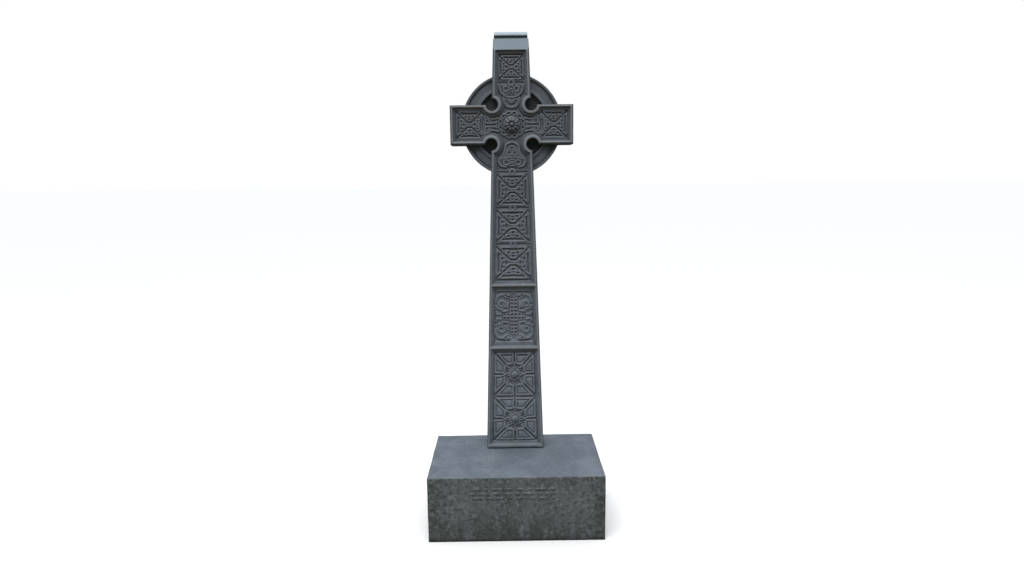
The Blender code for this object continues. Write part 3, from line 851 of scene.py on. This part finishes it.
def sampled(values, x, z):
    """Values of a map at points between its cells."""
    column = np.clip((x - MAP_LEFT) / CELL, 0, MAP_COLUMNS - 1.001)
    row = np.clip(z / CELL, 0, MAP_ROWS - 1.001)
    i, j = row.astype(int), column.astype(int)
    along, across = row - i, column - j
    low = values[i, j] * (1 - across) + values[i, j + 1] * across
    high = values[i + 1, j] * (1 - across) + values[i + 1, j + 1] * across
    return low * (1 - along) + high * along


def armpit(inset, widening, height, first, last):
    """The widened round bite at the right-hand corner of shaft and arm."""
    radius = ARMPIT_RADIUS + widening
    lost = math.asin(inset / radius)
    first += math.copysign(lost, last - first)
    last -= math.copysign(lost, last - first)
    angles = [first + (last - first) * i / ARC_STEPS for i in range(ARC_STEPS + 1)]
    corner = half_width(height)
    return [(corner + radius * math.cos(a), height + radius * math.sin(a)) for a in angles]


def cross_outline(inset, widening, bottom, top):
    """Outline of the cross between two heights, moved in by an inset, with its bites widened."""
    arm_end = ARM_SPAN / 2 - inset
    right = [(half_width(bottom) - inset, bottom)]
    right += armpit(inset, widening, ARM_UNDERSIDE, math.radians(270), 0)
    right += [(arm_end, ARM_UNDERSIDE + inset), (arm_end, ARM_TOP - inset)]
    right += armpit(inset, widening, ARM_TOP, 0, -math.radians(270))
    right += [(half_width(top) - inset, top)]
    return right + mirrored(right)


def prism(bm, outline, depth):
    """A closed slab of the cross on both sides of its middle plane."""
    ends = [[bm.verts.new((x, MIDDLE + side * depth, BED + z)) for x, z in outline] for side in (-1, 1)]
    for i in range(len(outline)):
        following = (i + 1) % len(outline)
        bm.faces.new((ends[0][i], ends[0][following], ends[1][following], ends[1][i]))
    for end in ends:
        bm.faces.new(end)


def stack(bm, levels):
    """A closed block through level rectangles, given as (height, half width, half depth)."""
    rings = []
    for height, half_x, half_y in levels:
        corners = ((-half_x, -half_y), (half_x, -half_y), (half_x, half_y), (-half_x, half_y))
        rings.append([bm.verts.new((x, MIDDLE + y, BED + height)) for x, y in corners])
    for lower, upper in zip(rings, rings[1:]):
        for i in range(4):
            following = (i + 1) % 4
            bm.faces.new((lower[i], lower[following], upper[following], upper[i]))
    bm.faces.new(rings[0])
    bm.faces.new(rings[-1])


def head_ring(bm):
    """The ring of the head with a channel in each face, and the web inside it."""
    outer, inner, half = RING_RADIUS, RING_RADIUS - RING_WIDTH, RING_DEPTH / 2
    floor = half - RING_CHANNEL
    face = [(outer, half), (outer - RING_FILLET, half), (outer - RING_FILLET - RING_SLOPE, floor)]
    face += [(inner + RING_FILLET + RING_SLOPE, floor), (inner + RING_FILLET, half), (inner, half)]
    profile = face + [(radius, -depth) for radius, depth in reversed(face)]
    rings = []
    for i in range(RING_STEPS):
        angle = 2 * math.pi * i / RING_STEPS
        across, along = math.cos(angle), math.sin(angle)
        places = [(r * across, MIDDLE + y, BED + HEAD_CENTRE + r * along) for r, y in profile]
        rings.append([bm.verts.new(place) for place in places])
    for i in range(RING_STEPS):
        near, far = rings[i], rings[(i + 1) % RING_STEPS]
        for k in range(len(profile)):
            following = (k + 1) % len(profile)
            bm.faces.new((near[k], near[following], far[following], far[k]))
    web = inner + RING_FILLET
    prism(bm, arc((0, HEAD_CENTRE), web, web, 0, 360 - 360 / RING_STEPS, RING_STEPS - 1), WEB_DEPTH / 2)


def cross_shells():
    """Closed shells that overlap to the cross's form, before its mouldings are cut."""
    bm = bmesh.new()
    half = CROSS_DEPTH / 2
    rebated = half - REBATE_DEPTH
    slope = CAP_SLOPE_RUN / CAP_SLOPE_HEIGHT
    prism(bm, cross_outline(0, 0, 0, CAP_START), rebated)
    prism(bm, cross_outline(REBATE, ARMPIT_REBATE, REBATE, CAP_START), half)
    turn = CAP_START + REBATE_DEPTH / slope
    panel_top = CAP_START + CAP_SLOPE_HEIGHT
    throat_top = panel_top + CAP_THROAT_HEIGHT
    ridge = half - CAP_SLOPE_RUN
    overlap = 0.02
    wide = half_width(panel_top)
    stack(bm, [
        (CAP_START - overlap, half_width(CAP_START), rebated),
        (turn, half_width(turn), rebated),
        (panel_top, wide, ridge),
        (panel_top, wide - RIDGE_INSET, ridge - CAP_THROAT_DEPTH),
        (throat_top, wide - RIDGE_INSET, ridge - CAP_THROAT_DEPTH),
        (throat_top, wide - RIDGE_INSET, ridge),
        (throat_top + RIDGE_FACE, wide - RIDGE_INSET, ridge),
        (CROSS_HEIGHT, half_width(CROSS_HEIGHT) - RIDGE_INSET, ridge - RIDGE_SLOPE_RUN),
    ])
    stack(bm, [
        (CAP_START - overlap, half_width(CAP_START) - REBATE, half - CLOSE),
        (CAP_START, half_width(CAP_START) - REBATE, half - CLOSE),
        (turn + 0.001, half_width(turn) - REBATE, rebated - 0.001),
    ])
    head_ring(bm)
    bmesh.ops.recalc_face_normals(bm, faces=bm.faces)
    return as_mesh(bm, "cross_shells")


def as_mesh(bm, name):
    mesh = bpy.data.meshes.new(name)
    bm.to_mesh(mesh)
    bm.free()
    return mesh


def placed(name, data):
    """A new object in the scene."""
    made = bpy.data.objects.new(name, data)
    bpy.context.scene.collection.objects.link(made)
    return made


def with_modifier(mesh, kind, settings):
    """A new mesh: the old one with one modifier applied."""
    holder = placed("holder", mesh)
    modifier = holder.modifiers.new(kind, kind)
    for name, value in settings.items():
        setattr(modifier, name, value)
    bpy.context.view_layer.update()
    made = bpy.data.meshes.new_from_object(holder.evaluated_get(bpy.context.evaluated_depsgraph_get()))
    bpy.data.objects.remove(holder, do_unlink=True)
    bpy.data.meshes.remove(mesh)
    return made


def rows_of(items, name):
    rows = np.empty(len(items) * 3, dtype=np.float32)
    items.foreach_get(name, rows)
    return rows.reshape(-1, 3).astype(float)


def points_of(mesh):
    return rows_of(mesh.vertices, "co")


def normals_of(mesh):
    return rows_of(mesh.vertex_normals, "vector")


def place_points(mesh, places):
    mesh.vertices.foreach_set("co", places.astype(np.float32).ravel())
    mesh.update()


def roughness_of(places, wavelength, seed):
    """A smooth random value at each point, about -1 to 1."""
    shift = Vector((seed * 7.3, seed * 3.1, seed * 5.7))
    scaled = places / wavelength
    return np.array([noise.noise(Vector(place) + shift) for place in scaled])


def count_triangles(mesh):
    mesh.calc_loop_triangles()
    return len(mesh.loop_triangles)


def thinned(mesh, triangles):
    """The mesh with its flat places drawn in fewer triangles."""
    have = count_triangles(mesh)
    if have <= triangles:
        return mesh
    return with_modifier(mesh, "DECIMATE", {"ratio": triangles / have, "use_collapse_triangulate": True})


def store(mesh, name, values):
    attribute = mesh.attributes.new(name, "FLOAT", "POINT")
    attribute.data.foreach_set("value", values.astype(np.float32))


def carve(places, normals, depth_map):
    """Cuts the carved front, the plainer mouldings of the back and a shallow panel down each side."""
    x, y, z = places[:, 0], places[:, 1], places[:, 2] - BED
    on_face = smooth_step(1 - np.maximum(y - FRONT, 0) / REBATE_DEPTH) * (y < MIDDLE)
    front_cut = sampled(depth_map, x, z) * on_face
    on_back = smooth_step(1 - np.maximum(BACK - y, 0) / REBATE_DEPTH) * (y > MIDDLE)
    back_cut = moulding_depth(x, z) * on_back
    high = HEAD_CENTRE - RING_RADIUS - SIDE_RIM
    reach = CROSS_DEPTH / 2 - SIDE_RIM
    within = np.minimum(reach - np.abs(y - MIDDLE), np.minimum(z - SIDE_PANEL_START, high - z))
    on_side = (np.abs(normals[:, 0]) > 0.8) & (np.abs(x) > half_width(z) - SIDE_SINK)
    side_cut = SIDE_SINK * smooth_step(within / SIDE_RUN) * on_side
    carved = places.copy()
    carved[:, 0] -= np.sign(x) * side_cut
    carved[:, 1] += front_cut - back_cut
    return carved


def make_cross(material):
    """The carved stone: one closed mesh in the place of the solid."""
    depth_map, front_shade, back_shade = front_maps()
    mesh = with_modifier(cross_shells(), "REMESH", {"mode": "VOXEL", "voxel_size": VOXEL, "adaptivity": 0})
    places = points_of(mesh)
    places = carve(places, normals_of(mesh), depth_map)
    place_points(mesh, places)
    normals = normals_of(mesh)
    worn = CROSS_WEAR * (roughness_of(places, CROSS_WEAR_WAVE, 1) - 1)
    place_points(mesh, places + normals * worn[:, None])
    mesh = thinned(mesh, CROSS_TRIANGLES)
    x, y, z = points_of(mesh).T
    z = z - BED
    depth = CROSS_DEPTH / 2 - np.abs(y - MIDDLE)
    on_faces = depth < (CROSS_DEPTH - RING_DEPTH) / 2 - FACE_MARGIN
    # Painted shade and highlight for the material: from the front or back maps on the faces, from the ring's
    # own below them.
    face = np.where(y < MIDDLE, sampled(front_shade, x, z), sampled(back_shade, x, z))
    rim = inside(x, z)
    behind = np.where(rim < FACE_MARGIN, ring_shade(x, depth, z), 0)
    soil_shade_and_highlight = np.where(on_faces & (rim > 0), face, behind)
    store(mesh, "soil_shade_and_highlight", soil_shade_and_highlight)
    finish_piece("carved_cross", mesh, material, "cross")


def finish_piece(name, mesh, material, node):
    """Names a stone, gives it its material and puts it in the place of its solid."""
    mesh.name = name
    mesh.materials.clear()
    mesh.materials.append(material)
    mesh.shade_smooth()
    piece = placed(name, mesh)
    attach(piece, "root")
    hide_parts(node)


# Base block
ARRIS = 0.009
ARRIS_WEAR = 0.35
ARRIS_WEAR_WAVE = 0.06
ARRIS_STEP = 0.003
BROAD_WEAR = 0.0012
BROAD_WEAR_WAVE = 0.11
FINE_WEAR = 0.0006
FINE_WEAR_WAVE = 0.03
WEAR_ROOM = 0.0015
COARSE_STEP = 0.010
STROKE_ROWS = 3
STROKE_ROW_LENGTH = 0.540
STROKE_PITCH = 0.028
STROKE_THICKNESS = 0.011
STROKE_PROUD = 0.004
STROKE_GAP = 0.014
STROKE_TOP_MARGIN = 0.075
STROKE_LENGTHS = (0.058, 0.030, 0.074, 0.042)
STROKE_STEP = 0.0024
STROKE_RUN = 0.003
STAIN_PLACE = (0.247, -0.032)
STAIN_LENGTH = 0.050
STAIN_BREADTH = 0.012


def spread(low, high, fine_spans, fine, coarse):
    """Places along an axis, close together in the fine spans and wider apart between them."""
    stops = sorted({low, high, *(end for span in fine_spans for end in span)})
    places = [low]
    for start, end in zip(stops, stops[1:]):
        middle = (start + end) / 2
        step = fine if any(a <= middle <= b for a, b in fine_spans) else coarse
        count = max(1, round((end - start) / step))
        places += [start + (end - start) * (i + 1) / count for i in range(count)]
    return places


def block_mesh(axes):
    """The closed skin of a block, with its vertices where the places on the three axes meet."""
    index = {}
    vertices = []
    faces = []

    def vertex(key):
        if key not in index:
            index[key] = len(vertices)
            vertices.append(tuple(axes[k][key[k]] for k in range(3)))
        return index[key]

    for axis in range(3):
        across, along = (axis + 1) % 3, (axis + 2) % 3
        for end in (0, len(axes[axis]) - 1):
            for i in range(len(axes[across]) - 1):
                for j in range(len(axes[along]) - 1):
                    corners = []
                    for step_i, step_j in ((0, 0), (1, 0), (1, 1), (0, 1)):
                        key = [0, 0, 0]
                        key[axis], key[across], key[along] = end, i + step_i, j + step_j
                        corners.append(vertex(tuple(key)))
                    faces.append(corners if end else corners[::-1])
    mesh = bpy.data.meshes.new("block")
    mesh.from_pydata(vertices, [], faces)
    return mesh


def stroke_heights(x, z):
    """How far the rows of short slanting strokes stand out of the base's front."""
    proud = np.zeros_like(x)
    lean = STROKE_THICKNESS / 2
    for row in range(STROKE_ROWS):
        height = BASE_HIGH.z - STROKE_TOP_MARGIN - row * STROKE_PITCH
        start = -STROKE_ROW_LENGTH / 2
        number = row
        while True:
            length = STROKE_LENGTHS[number % len(STROKE_LENGTHS)]
            if start + length > STROKE_ROW_LENGTH / 2:
                break
            slant = lean * ((z - height) / STROKE_THICKNESS + 0.5)
            from_ends = np.minimum(x - start - slant, start + length - lean + slant - x)
            within = np.minimum(from_ends, STROKE_THICKNESS / 2 - np.abs(z - height))
            proud = np.maximum(proud, STROKE_PROUD * smooth_step(within / STROKE_RUN))
            start += length + STROKE_GAP
            number += 1
    return proud


def make_base(material):
    """The base block, with worn arrises, a slightly uneven dressed face and the rows of strokes."""
    low, high = BASE_LOW.copy(), BASE_HIGH.copy()
    low.y += STROKE_PROUD
    edge = ARRIS * (1 + ARRIS_WEAR)
    row_high = high.z - STROKE_TOP_MARGIN + STROKE_THICKNESS
    row_low = row_high - (STROKE_ROWS - 1) * STROKE_PITCH - 2 * STROKE_THICKNESS
    row_end = STROKE_ROW_LENGTH / 2
    axes = [
        spread(low.x, high.x, [(low.x, low.x + edge), (-row_end, row_end), (high.x - edge, high.x)],
               ARRIS_STEP, COARSE_STEP),
        spread(low.y, high.y, [(low.y, low.y + edge), (high.y - edge, high.y)], ARRIS_STEP, COARSE_STEP),
        spread(low.z, high.z, [(row_low, row_high), (high.z - edge, high.z)], STROKE_STEP, COARSE_STEP),
    ]
    mesh = block_mesh(axes)
    places = points_of(mesh)
    strokes = stroke_heights(places[:, 0], places[:, 2]) * (places[:, 1] < low.y + CLOSE)
    wear = ARRIS * (1 + ARRIS_WEAR * roughness_of(places, ARRIS_WEAR_WAVE, 3))
    core = places.copy()
    for axis in (0, 1):
        core[:, axis] = np.clip(places[:, axis], low[axis] + wear, high[axis] - wear)
    core[:, 2] = np.minimum(places[:, 2], high.z - wear)
    out = places - core
    length = np.maximum(np.linalg.norm(out, axis=1), 1e-9)
    rounded = core + out / length[:, None] * np.minimum(length, wear)[:, None]
    on_ground = places[:, 2] < low.z + CLOSE
    rounded[on_ground, 2] = low.z
    place_points(mesh, rounded)
    normals = normals_of(mesh)
    uneven = BROAD_WEAR * roughness_of(rounded, BROAD_WEAR_WAVE, 4)
    uneven += FINE_WEAR * roughness_of(rounded, FINE_WEAR_WAVE, 5) - WEAR_ROOM
    uneven = np.where(strokes > 0, uneven * 0.3, uneven)
    moved = rounded + normals * uneven[:, None]
    moved[:, 1] -= strokes
    moved[on_ground] = rounded[on_ground]
    place_points(mesh, moved)
    mesh = thinned(mesh, BASE_TRIANGLES)
    finish_piece("dressed_base", mesh, material, "base_block")


class Surface:
    """A material's node tree, with short ways to add what it needs."""

    def __init__(self, name):
        self.material = bpy.data.materials.new(name)
        self.material.use_nodes = True
        self.tree = self.material.node_tree
        self.shader = self.tree.nodes["Principled BSDF"]
        self.place = self.add("ShaderNodeTexCoord").outputs["Object"]
        self.height = self.split(self.place)[2]

    def add(self, kind, **inputs):
        node = self.tree.nodes.new(kind)
        for name, value in inputs.items():
            self.give(node.inputs[name], value)
        return node

    def give(self, socket, value):
        if isinstance(value, bpy.types.NodeSocket):
            self.tree.links.new(value, socket)
        else:
            socket.default_value = value

    def split(self, vector):
        return self.add("ShaderNodeSeparateXYZ", Vector=vector).outputs

    def noise(self, scale, detail=4.0, roughness=0.55, stretch=None):
        place = self.place
        if stretch:
            mapping = self.add("ShaderNodeMapping", Vector=place, Scale=stretch)
            place = mapping.outputs["Vector"]
        made = self.add("ShaderNodeTexNoise", Vector=place, Scale=scale, Detail=detail, Roughness=roughness)
        return made.outputs["Fac"]

    def mask(self, value, low, high):
        """A value's way from low to high as a share from 0 to 1."""
        node = self.add("ShaderNodeMapRange")
        node.interpolation_type = "SMOOTHSTEP"
        self.give(node.inputs["Value"], value)
        self.give(node.inputs["From Min"], low)
        self.give(node.inputs["From Max"], high)
        return node.outputs["Result"]

    def math(self, operation, first, second):
        node = self.tree.nodes.new("ShaderNodeMath")
        node.operation = operation
        self.give(node.inputs[0], first)
        self.give(node.inputs[1], second)
        return node.outputs[0]

    def share(self, value, part):
        return self.math("MULTIPLY", value, part)

    def rest(self, value):
        """What a share leaves of the whole."""
        return self.math("SUBTRACT", 1.0, value)

    def mix(self, share, first, second):
        """Two colours mixed by a share."""
        node = self.tree.nodes.new("ShaderNodeMix")
        node.data_type = "RGBA"
        self.give(node.inputs[0], share)
        for socket, colour in ((node.inputs[6], first), (node.inputs[7], second)):
            self.give(socket, colour if isinstance(colour, bpy.types.NodeSocket) else (*colour, 1))
        return node.outputs[2]

    def coats(self, colour, *layers):
        """A colour under thin coats, given as (where it lies, how strongly, its colour)."""
        for where, strength, tone in layers:
            colour = self.mix(self.share(where, strength), colour, tone)
        return colour

    def grain(self, colour):
        """Crystals of the granite, darker and lighter than the colour they are in."""
        dark = self.mask(self.noise(420, 2.0, 0.6), 0.56, 0.66)
        light = self.mask(self.noise(300, 2.0, 0.7), 0.58, 0.70)
        return self.coats(colour, (dark, 0.40, (0.035, 0.038, 0.040)), (light, 0.35, (0.22, 0.23, 0.235)))

    def finish(self, colour, roughness, bumps):
        """Sets the colour and roughness, and bumps given as (height, distance) pairs."""
        self.give(self.shader.inputs["Base Color"], colour)
        self.shader.inputs["Roughness"].default_value = roughness
        self.shader.inputs["Specular IOR Level"].default_value = 0.25
        normal = None
        for height, distance in bumps:
            bump = self.add("ShaderNodeBump", Height=height, Distance=distance, Strength=1.0)
            if normal:
                self.tree.links.new(normal, bump.inputs["Normal"])
            normal = bump.outputs["Normal"]
        self.tree.links.new(normal, self.shader.inputs["Normal"])
        return self.material


def carved_granite():
    """Bluish grey granite, darker towards its top, with painted light: tops, ribs, rolls and the cap painted
    paler as painted light from above, partly wear, and recesses and undersides painted darker as painted
    shade, partly dirt and algae.
    """
    stone = Surface("weathered_granite_carved")
    facing_up = stone.split(stone.add("ShaderNodeNewGeometry").outputs["Normal"])[2]
    soil_shade_and_highlight = stone.add("ShaderNodeAttribute")
    soil_shade_and_highlight.attribute_name = "soil_shade_and_highlight"
    soil_shade_and_highlight = soil_shade_and_highlight.outputs["Fac"]
    patches = stone.noise(5.0, 5.0, 0.6)
    blotches = stone.noise(24.0, 5.0, 0.65)
    stains = stone.noise(9.0, 4.0, 0.6)
    granite = stone.mix(stone.mask(patches, 0.35, 0.65), (0.129, 0.150, 0.176), (0.172, 0.197, 0.229))
    soil_and_shade = stone.mix(stone.mask(stains, 0.40, 0.60), (0.016, 0.019, 0.018), (0.034, 0.029, 0.026))
    underside_shade = stone.mix(stone.mask(blotches, 0.42, 0.58), (0.030, 0.028, 0.022), (0.082, 0.058, 0.036))
    cap = stone.mask(stone.height, BED + CAP_START - CAP_BLEND, BED + CAP_START + CAP_BLEND)
    ridge = stone.mask(stone.height, BED + CAP_START + CAP_SLOPE_HEIGHT, BED + CROSS_HEIGHT)
    colour = stone.coats(
        granite,
        (stone.mask(blotches, 0.48, 0.66), 0.55, (0.085, 0.096, 0.100)),
        (stone.mask(stone.height, BED + DARKER_FROM, BED + DARKER_TO), 0.76, (0.068, 0.076, 0.085)),
        # Painted highlight on what stands out and on the rolls and ring edges, partly wear.
        (stone.mask(stone.share(soil_shade_and_highlight, -1.0), 0.1, 1.3), 0.75, (0.222, 0.238, 0.254)),
        # Up-facing surfaces painted paler: painted light from above.
        (stone.mask(facing_up, 0.25, 0.95), 0.42, (0.185, 0.202, 0.212)),
        # Painted shade in recesses, coves, hollows and under the arms, partly dirt.
        (stone.mask(soil_shade_and_highlight, 0.15, 1.7), 0.92, soil_and_shade),
        # Down-facing surfaces painted dark and brownish: painted shade under ledges.
        (stone.mask(stone.share(facing_up, -1.0), 0.2, 0.75), 0.75, underside_shade),
        # The cap's sloping faces painted paler and bluer: painted light from the sky.
        (stone.share(cap, stone.mask(facing_up, 0.2, 0.5)), 0.75, (0.190, 0.236, 0.272)),
        # The ridge's up-facing top painted much paler: painted highlight.
        (stone.share(ridge, stone.mask(facing_up, 0.2, 0.6)), 0.9, (0.38, 0.48, 0.53)),
    )
    bumps = [(stone.noise(160, 4.0, 0.7), 0.0012), (stone.noise(38, 4.0, 0.6), 0.0018)]
    return stone.finish(stone.grain(colour), 0.85, bumps)


def base_granite():
    """Grey-green granite with moss patches and damp drips on its face, darker along its very foot, and a top
    painted paler and bluish, partly as painted light from above.
    """
    stone = Surface("weathered_granite_base")
    x, y, z = stone.split(stone.place)
    facing_up = stone.split(stone.add("ShaderNodeNewGeometry").outputs["Normal"])[2]
    patches = stone.noise(4.0, 5.0, 0.65)
    blotches = stone.noise(15.0, 6.0, 0.72)
    specks = stone.noise(48.0, 5.0, 0.75)
    mottles = stone.noise(32.0, 6.0, 0.8)
    drips = stone.noise(3.0, 5.0, 0.65, stretch=(5.0, 5.0, 0.7))
    granite = stone.mix(stone.mask(patches, 0.38, 0.62), (0.088, 0.103, 0.101), (0.135, 0.149, 0.156))
    side = stone.mask(stone.math("ABSOLUTE", x, 0.0), BASE_HIGH.x - 0.15, BASE_HIGH.x - 0.05)
    streaks = stone.share(side, stone.mask(mottles, 0.44, 0.56))
    damp = stone.mask(stone.math("ADD", drips, stone.share(mottles, 0.5)), 0.60, 0.88)
    damp = stone.share(stone.rest(stone.mask(z, 0.0, 0.24)), damp)
    face = stone.coats(
        granite,
        (stone.mask(blotches, 0.47, 0.62), 0.45, (0.068, 0.080, 0.073)),
        (stone.mask(mottles, 0.50, 0.58), 0.75, (0.050, 0.060, 0.052)),
        (stone.mask(specks, 0.52, 0.59), 0.75, (0.190, 0.203, 0.203)),
        (streaks, 0.65, (0.040, 0.050, 0.038)),
        (damp, 0.75, (0.040, 0.046, 0.038)),
        # Darker along the lowest few centimetres.
        (stone.rest(stone.mask(z, 0.0, 0.035)), 0.7, (0.022, 0.024, 0.022)),
    )
    right = stone.math("SUBTRACT", x, STAIN_PLACE[0])
    back = stone.math("SUBTRACT", y, STAIN_PLACE[1])
    along = stone.share(stone.math("SUBTRACT", right, back), 1 / STAIN_LENGTH)
    across = stone.share(stone.math("ADD", right, back), 1 / STAIN_BREADTH)
    away = stone.math("ADD", stone.share(along, along), stone.share(across, across))
    # The top is paler and bluer than the face: partly its own colour, partly painted light from above.
    top = stone.coats(
        stone.mix(stone.mask(patches, 0.38, 0.62), (0.112, 0.132, 0.166), (0.158, 0.182, 0.218)),
        (stone.mask(blotches, 0.50, 0.66), 0.5, (0.092, 0.110, 0.132)),
        (stone.mask(specks, 0.54, 0.68), 0.4, (0.215, 0.240, 0.270)),
        (stone.rest(stone.mask(stone.math("ADD", away, specks), 0.6, 1.5)), 0.8, (0.110, 0.066, 0.042)),
    )
    colour = stone.coats(face, (stone.mask(facing_up, 0.5, 0.98), 0.95, top))
    bumps = [(stone.noise(140, 4.0, 0.7), 0.0012), (stone.noise(30, 5.0, 0.65), 0.002)]
    return stone.finish(stone.grain(colour), 0.88, bumps)


# Studio
FLOOR_SIZE = 400.0
FLOOR_COLOUR = (0.97, 0.97, 0.97)
FLOOR_BOUNCE = (0.22, 0.22, 0.21)
SKY_COLOUR = (0.96, 0.98, 1.0, 1)
SKY_LOW = 0.35
SKY_HIGH = 1.35
LAMP_SIZE = 5.0
LAMP_POWER = 260
LAMP_PLACE = Vector((-1.0, -3.0, 7.5))
LAMP_AIM = Vector((0, 0, 1.3))
CAMERA_PLACE = (-0.0347, -4.2285, 2.1569)
CAMERA_YAW = math.radians(0.328)
CAMERA_PITCH = math.radians(8.875)
CAMERA_ROLL = math.radians(0.672)
CAMERA_LENS = 24.32
SENSOR_WIDTH = 36.0


def make_floor():
    """The pale floor that the base stands on, which throws only a little light back up."""
    bm = bmesh.new()
    bmesh.ops.create_grid(bm, x_segments=4, y_segments=4, size=FLOOR_SIZE / 2)
    mesh = as_mesh(bm, "floor")
    surface = Surface("pale_floor")
    seen = surface.add("ShaderNodeLightPath").outputs["Is Camera Ray"]
    surface.give(surface.shader.inputs["Base Color"], surface.mix(seen, FLOOR_BOUNCE, FLOOR_COLOUR))
    surface.shader.inputs["Roughness"].default_value = 0.9
    surface.shader.inputs["Specular IOR Level"].default_value = 0.1
    mesh.materials.append(surface.material)
    floor = placed("floor", mesh)


def make_light():
    """A bright sky that is brighter overhead, and one broad soft lamp above the front."""
    world = bpy.data.worlds.new("studio")
    bpy.context.scene.world = world
    world.use_nodes = True
    tree = world.node_tree
    tree.nodes.clear()
    kinds = ("TexCoord", "SeparateXYZ", "MapRange", "Background", "Background", "LightPath", "MixShader")
    place, split, rise, sky, shown, path, mix = [tree.nodes.new("ShaderNode" + kind) for kind in kinds]
    out = tree.nodes.new("ShaderNodeOutputWorld")
    for name, value in (("From Min", -0.1), ("From Max", 1.0), ("To Min", SKY_LOW), ("To Max", SKY_HIGH)):
        rise.inputs[name].default_value = value
    sky.inputs["Color"].default_value = SKY_COLOUR
    shown.inputs["Color"].default_value = (1, 1, 1, 1)
    for start, end in (
        (place.outputs["Generated"], split.inputs["Vector"]),
        (split.outputs["Z"], rise.inputs["Value"]),
        (rise.outputs["Result"], sky.inputs["Strength"]),
        (path.outputs["Is Camera Ray"], mix.inputs[0]),
        (sky.outputs[0], mix.inputs[1]),
        (shown.outputs[0], mix.inputs[2]),
        (mix.outputs[0], out.inputs["Surface"]),
    ):
        tree.links.new(start, end)
    lamp = bpy.data.lights.new("overhead", "AREA")
    lamp.shape = "DISK"
    lamp.size = LAMP_SIZE
    lamp.energy = LAMP_POWER
    holder = placed("overhead", lamp)
    holder.location = LAMP_PLACE
    holder.rotation_euler = (LAMP_AIM - LAMP_PLACE).to_track_quat("-Z", "Y").to_euler()
    bpy.context.scene.view_settings.view_transform = "Standard"


def make_camera():
    """The camera of the photograph."""
    forward = Vector((
        math.sin(CAMERA_YAW) * math.cos(CAMERA_PITCH),
        math.cos(CAMERA_YAW) * math.cos(CAMERA_PITCH),
        -math.sin(CAMERA_PITCH),
    ))
    right = Vector((math.cos(CAMERA_YAW), -math.sin(CAMERA_YAW), 0))
    down = forward.cross(right)
    rolled_right = right * math.cos(CAMERA_ROLL) + down * math.sin(CAMERA_ROLL)
    rolled_down = -right * math.sin(CAMERA_ROLL) + down * math.cos(CAMERA_ROLL)
    turn = Matrix((rolled_right, -rolled_down, -forward)).transposed().to_4x4()
    data = bpy.data.cameras.new("camera")
    data.lens = CAMERA_LENS
    data.sensor_width = SENSOR_WIDTH
    camera = placed("camera", data)
    camera.matrix_world = Matrix.Translation(CAMERA_PLACE) @ turn
    bpy.context.scene.camera = camera


make_camera()
make_light()
make_floor()
make_cross(carved_granite())
make_base(base_granite())
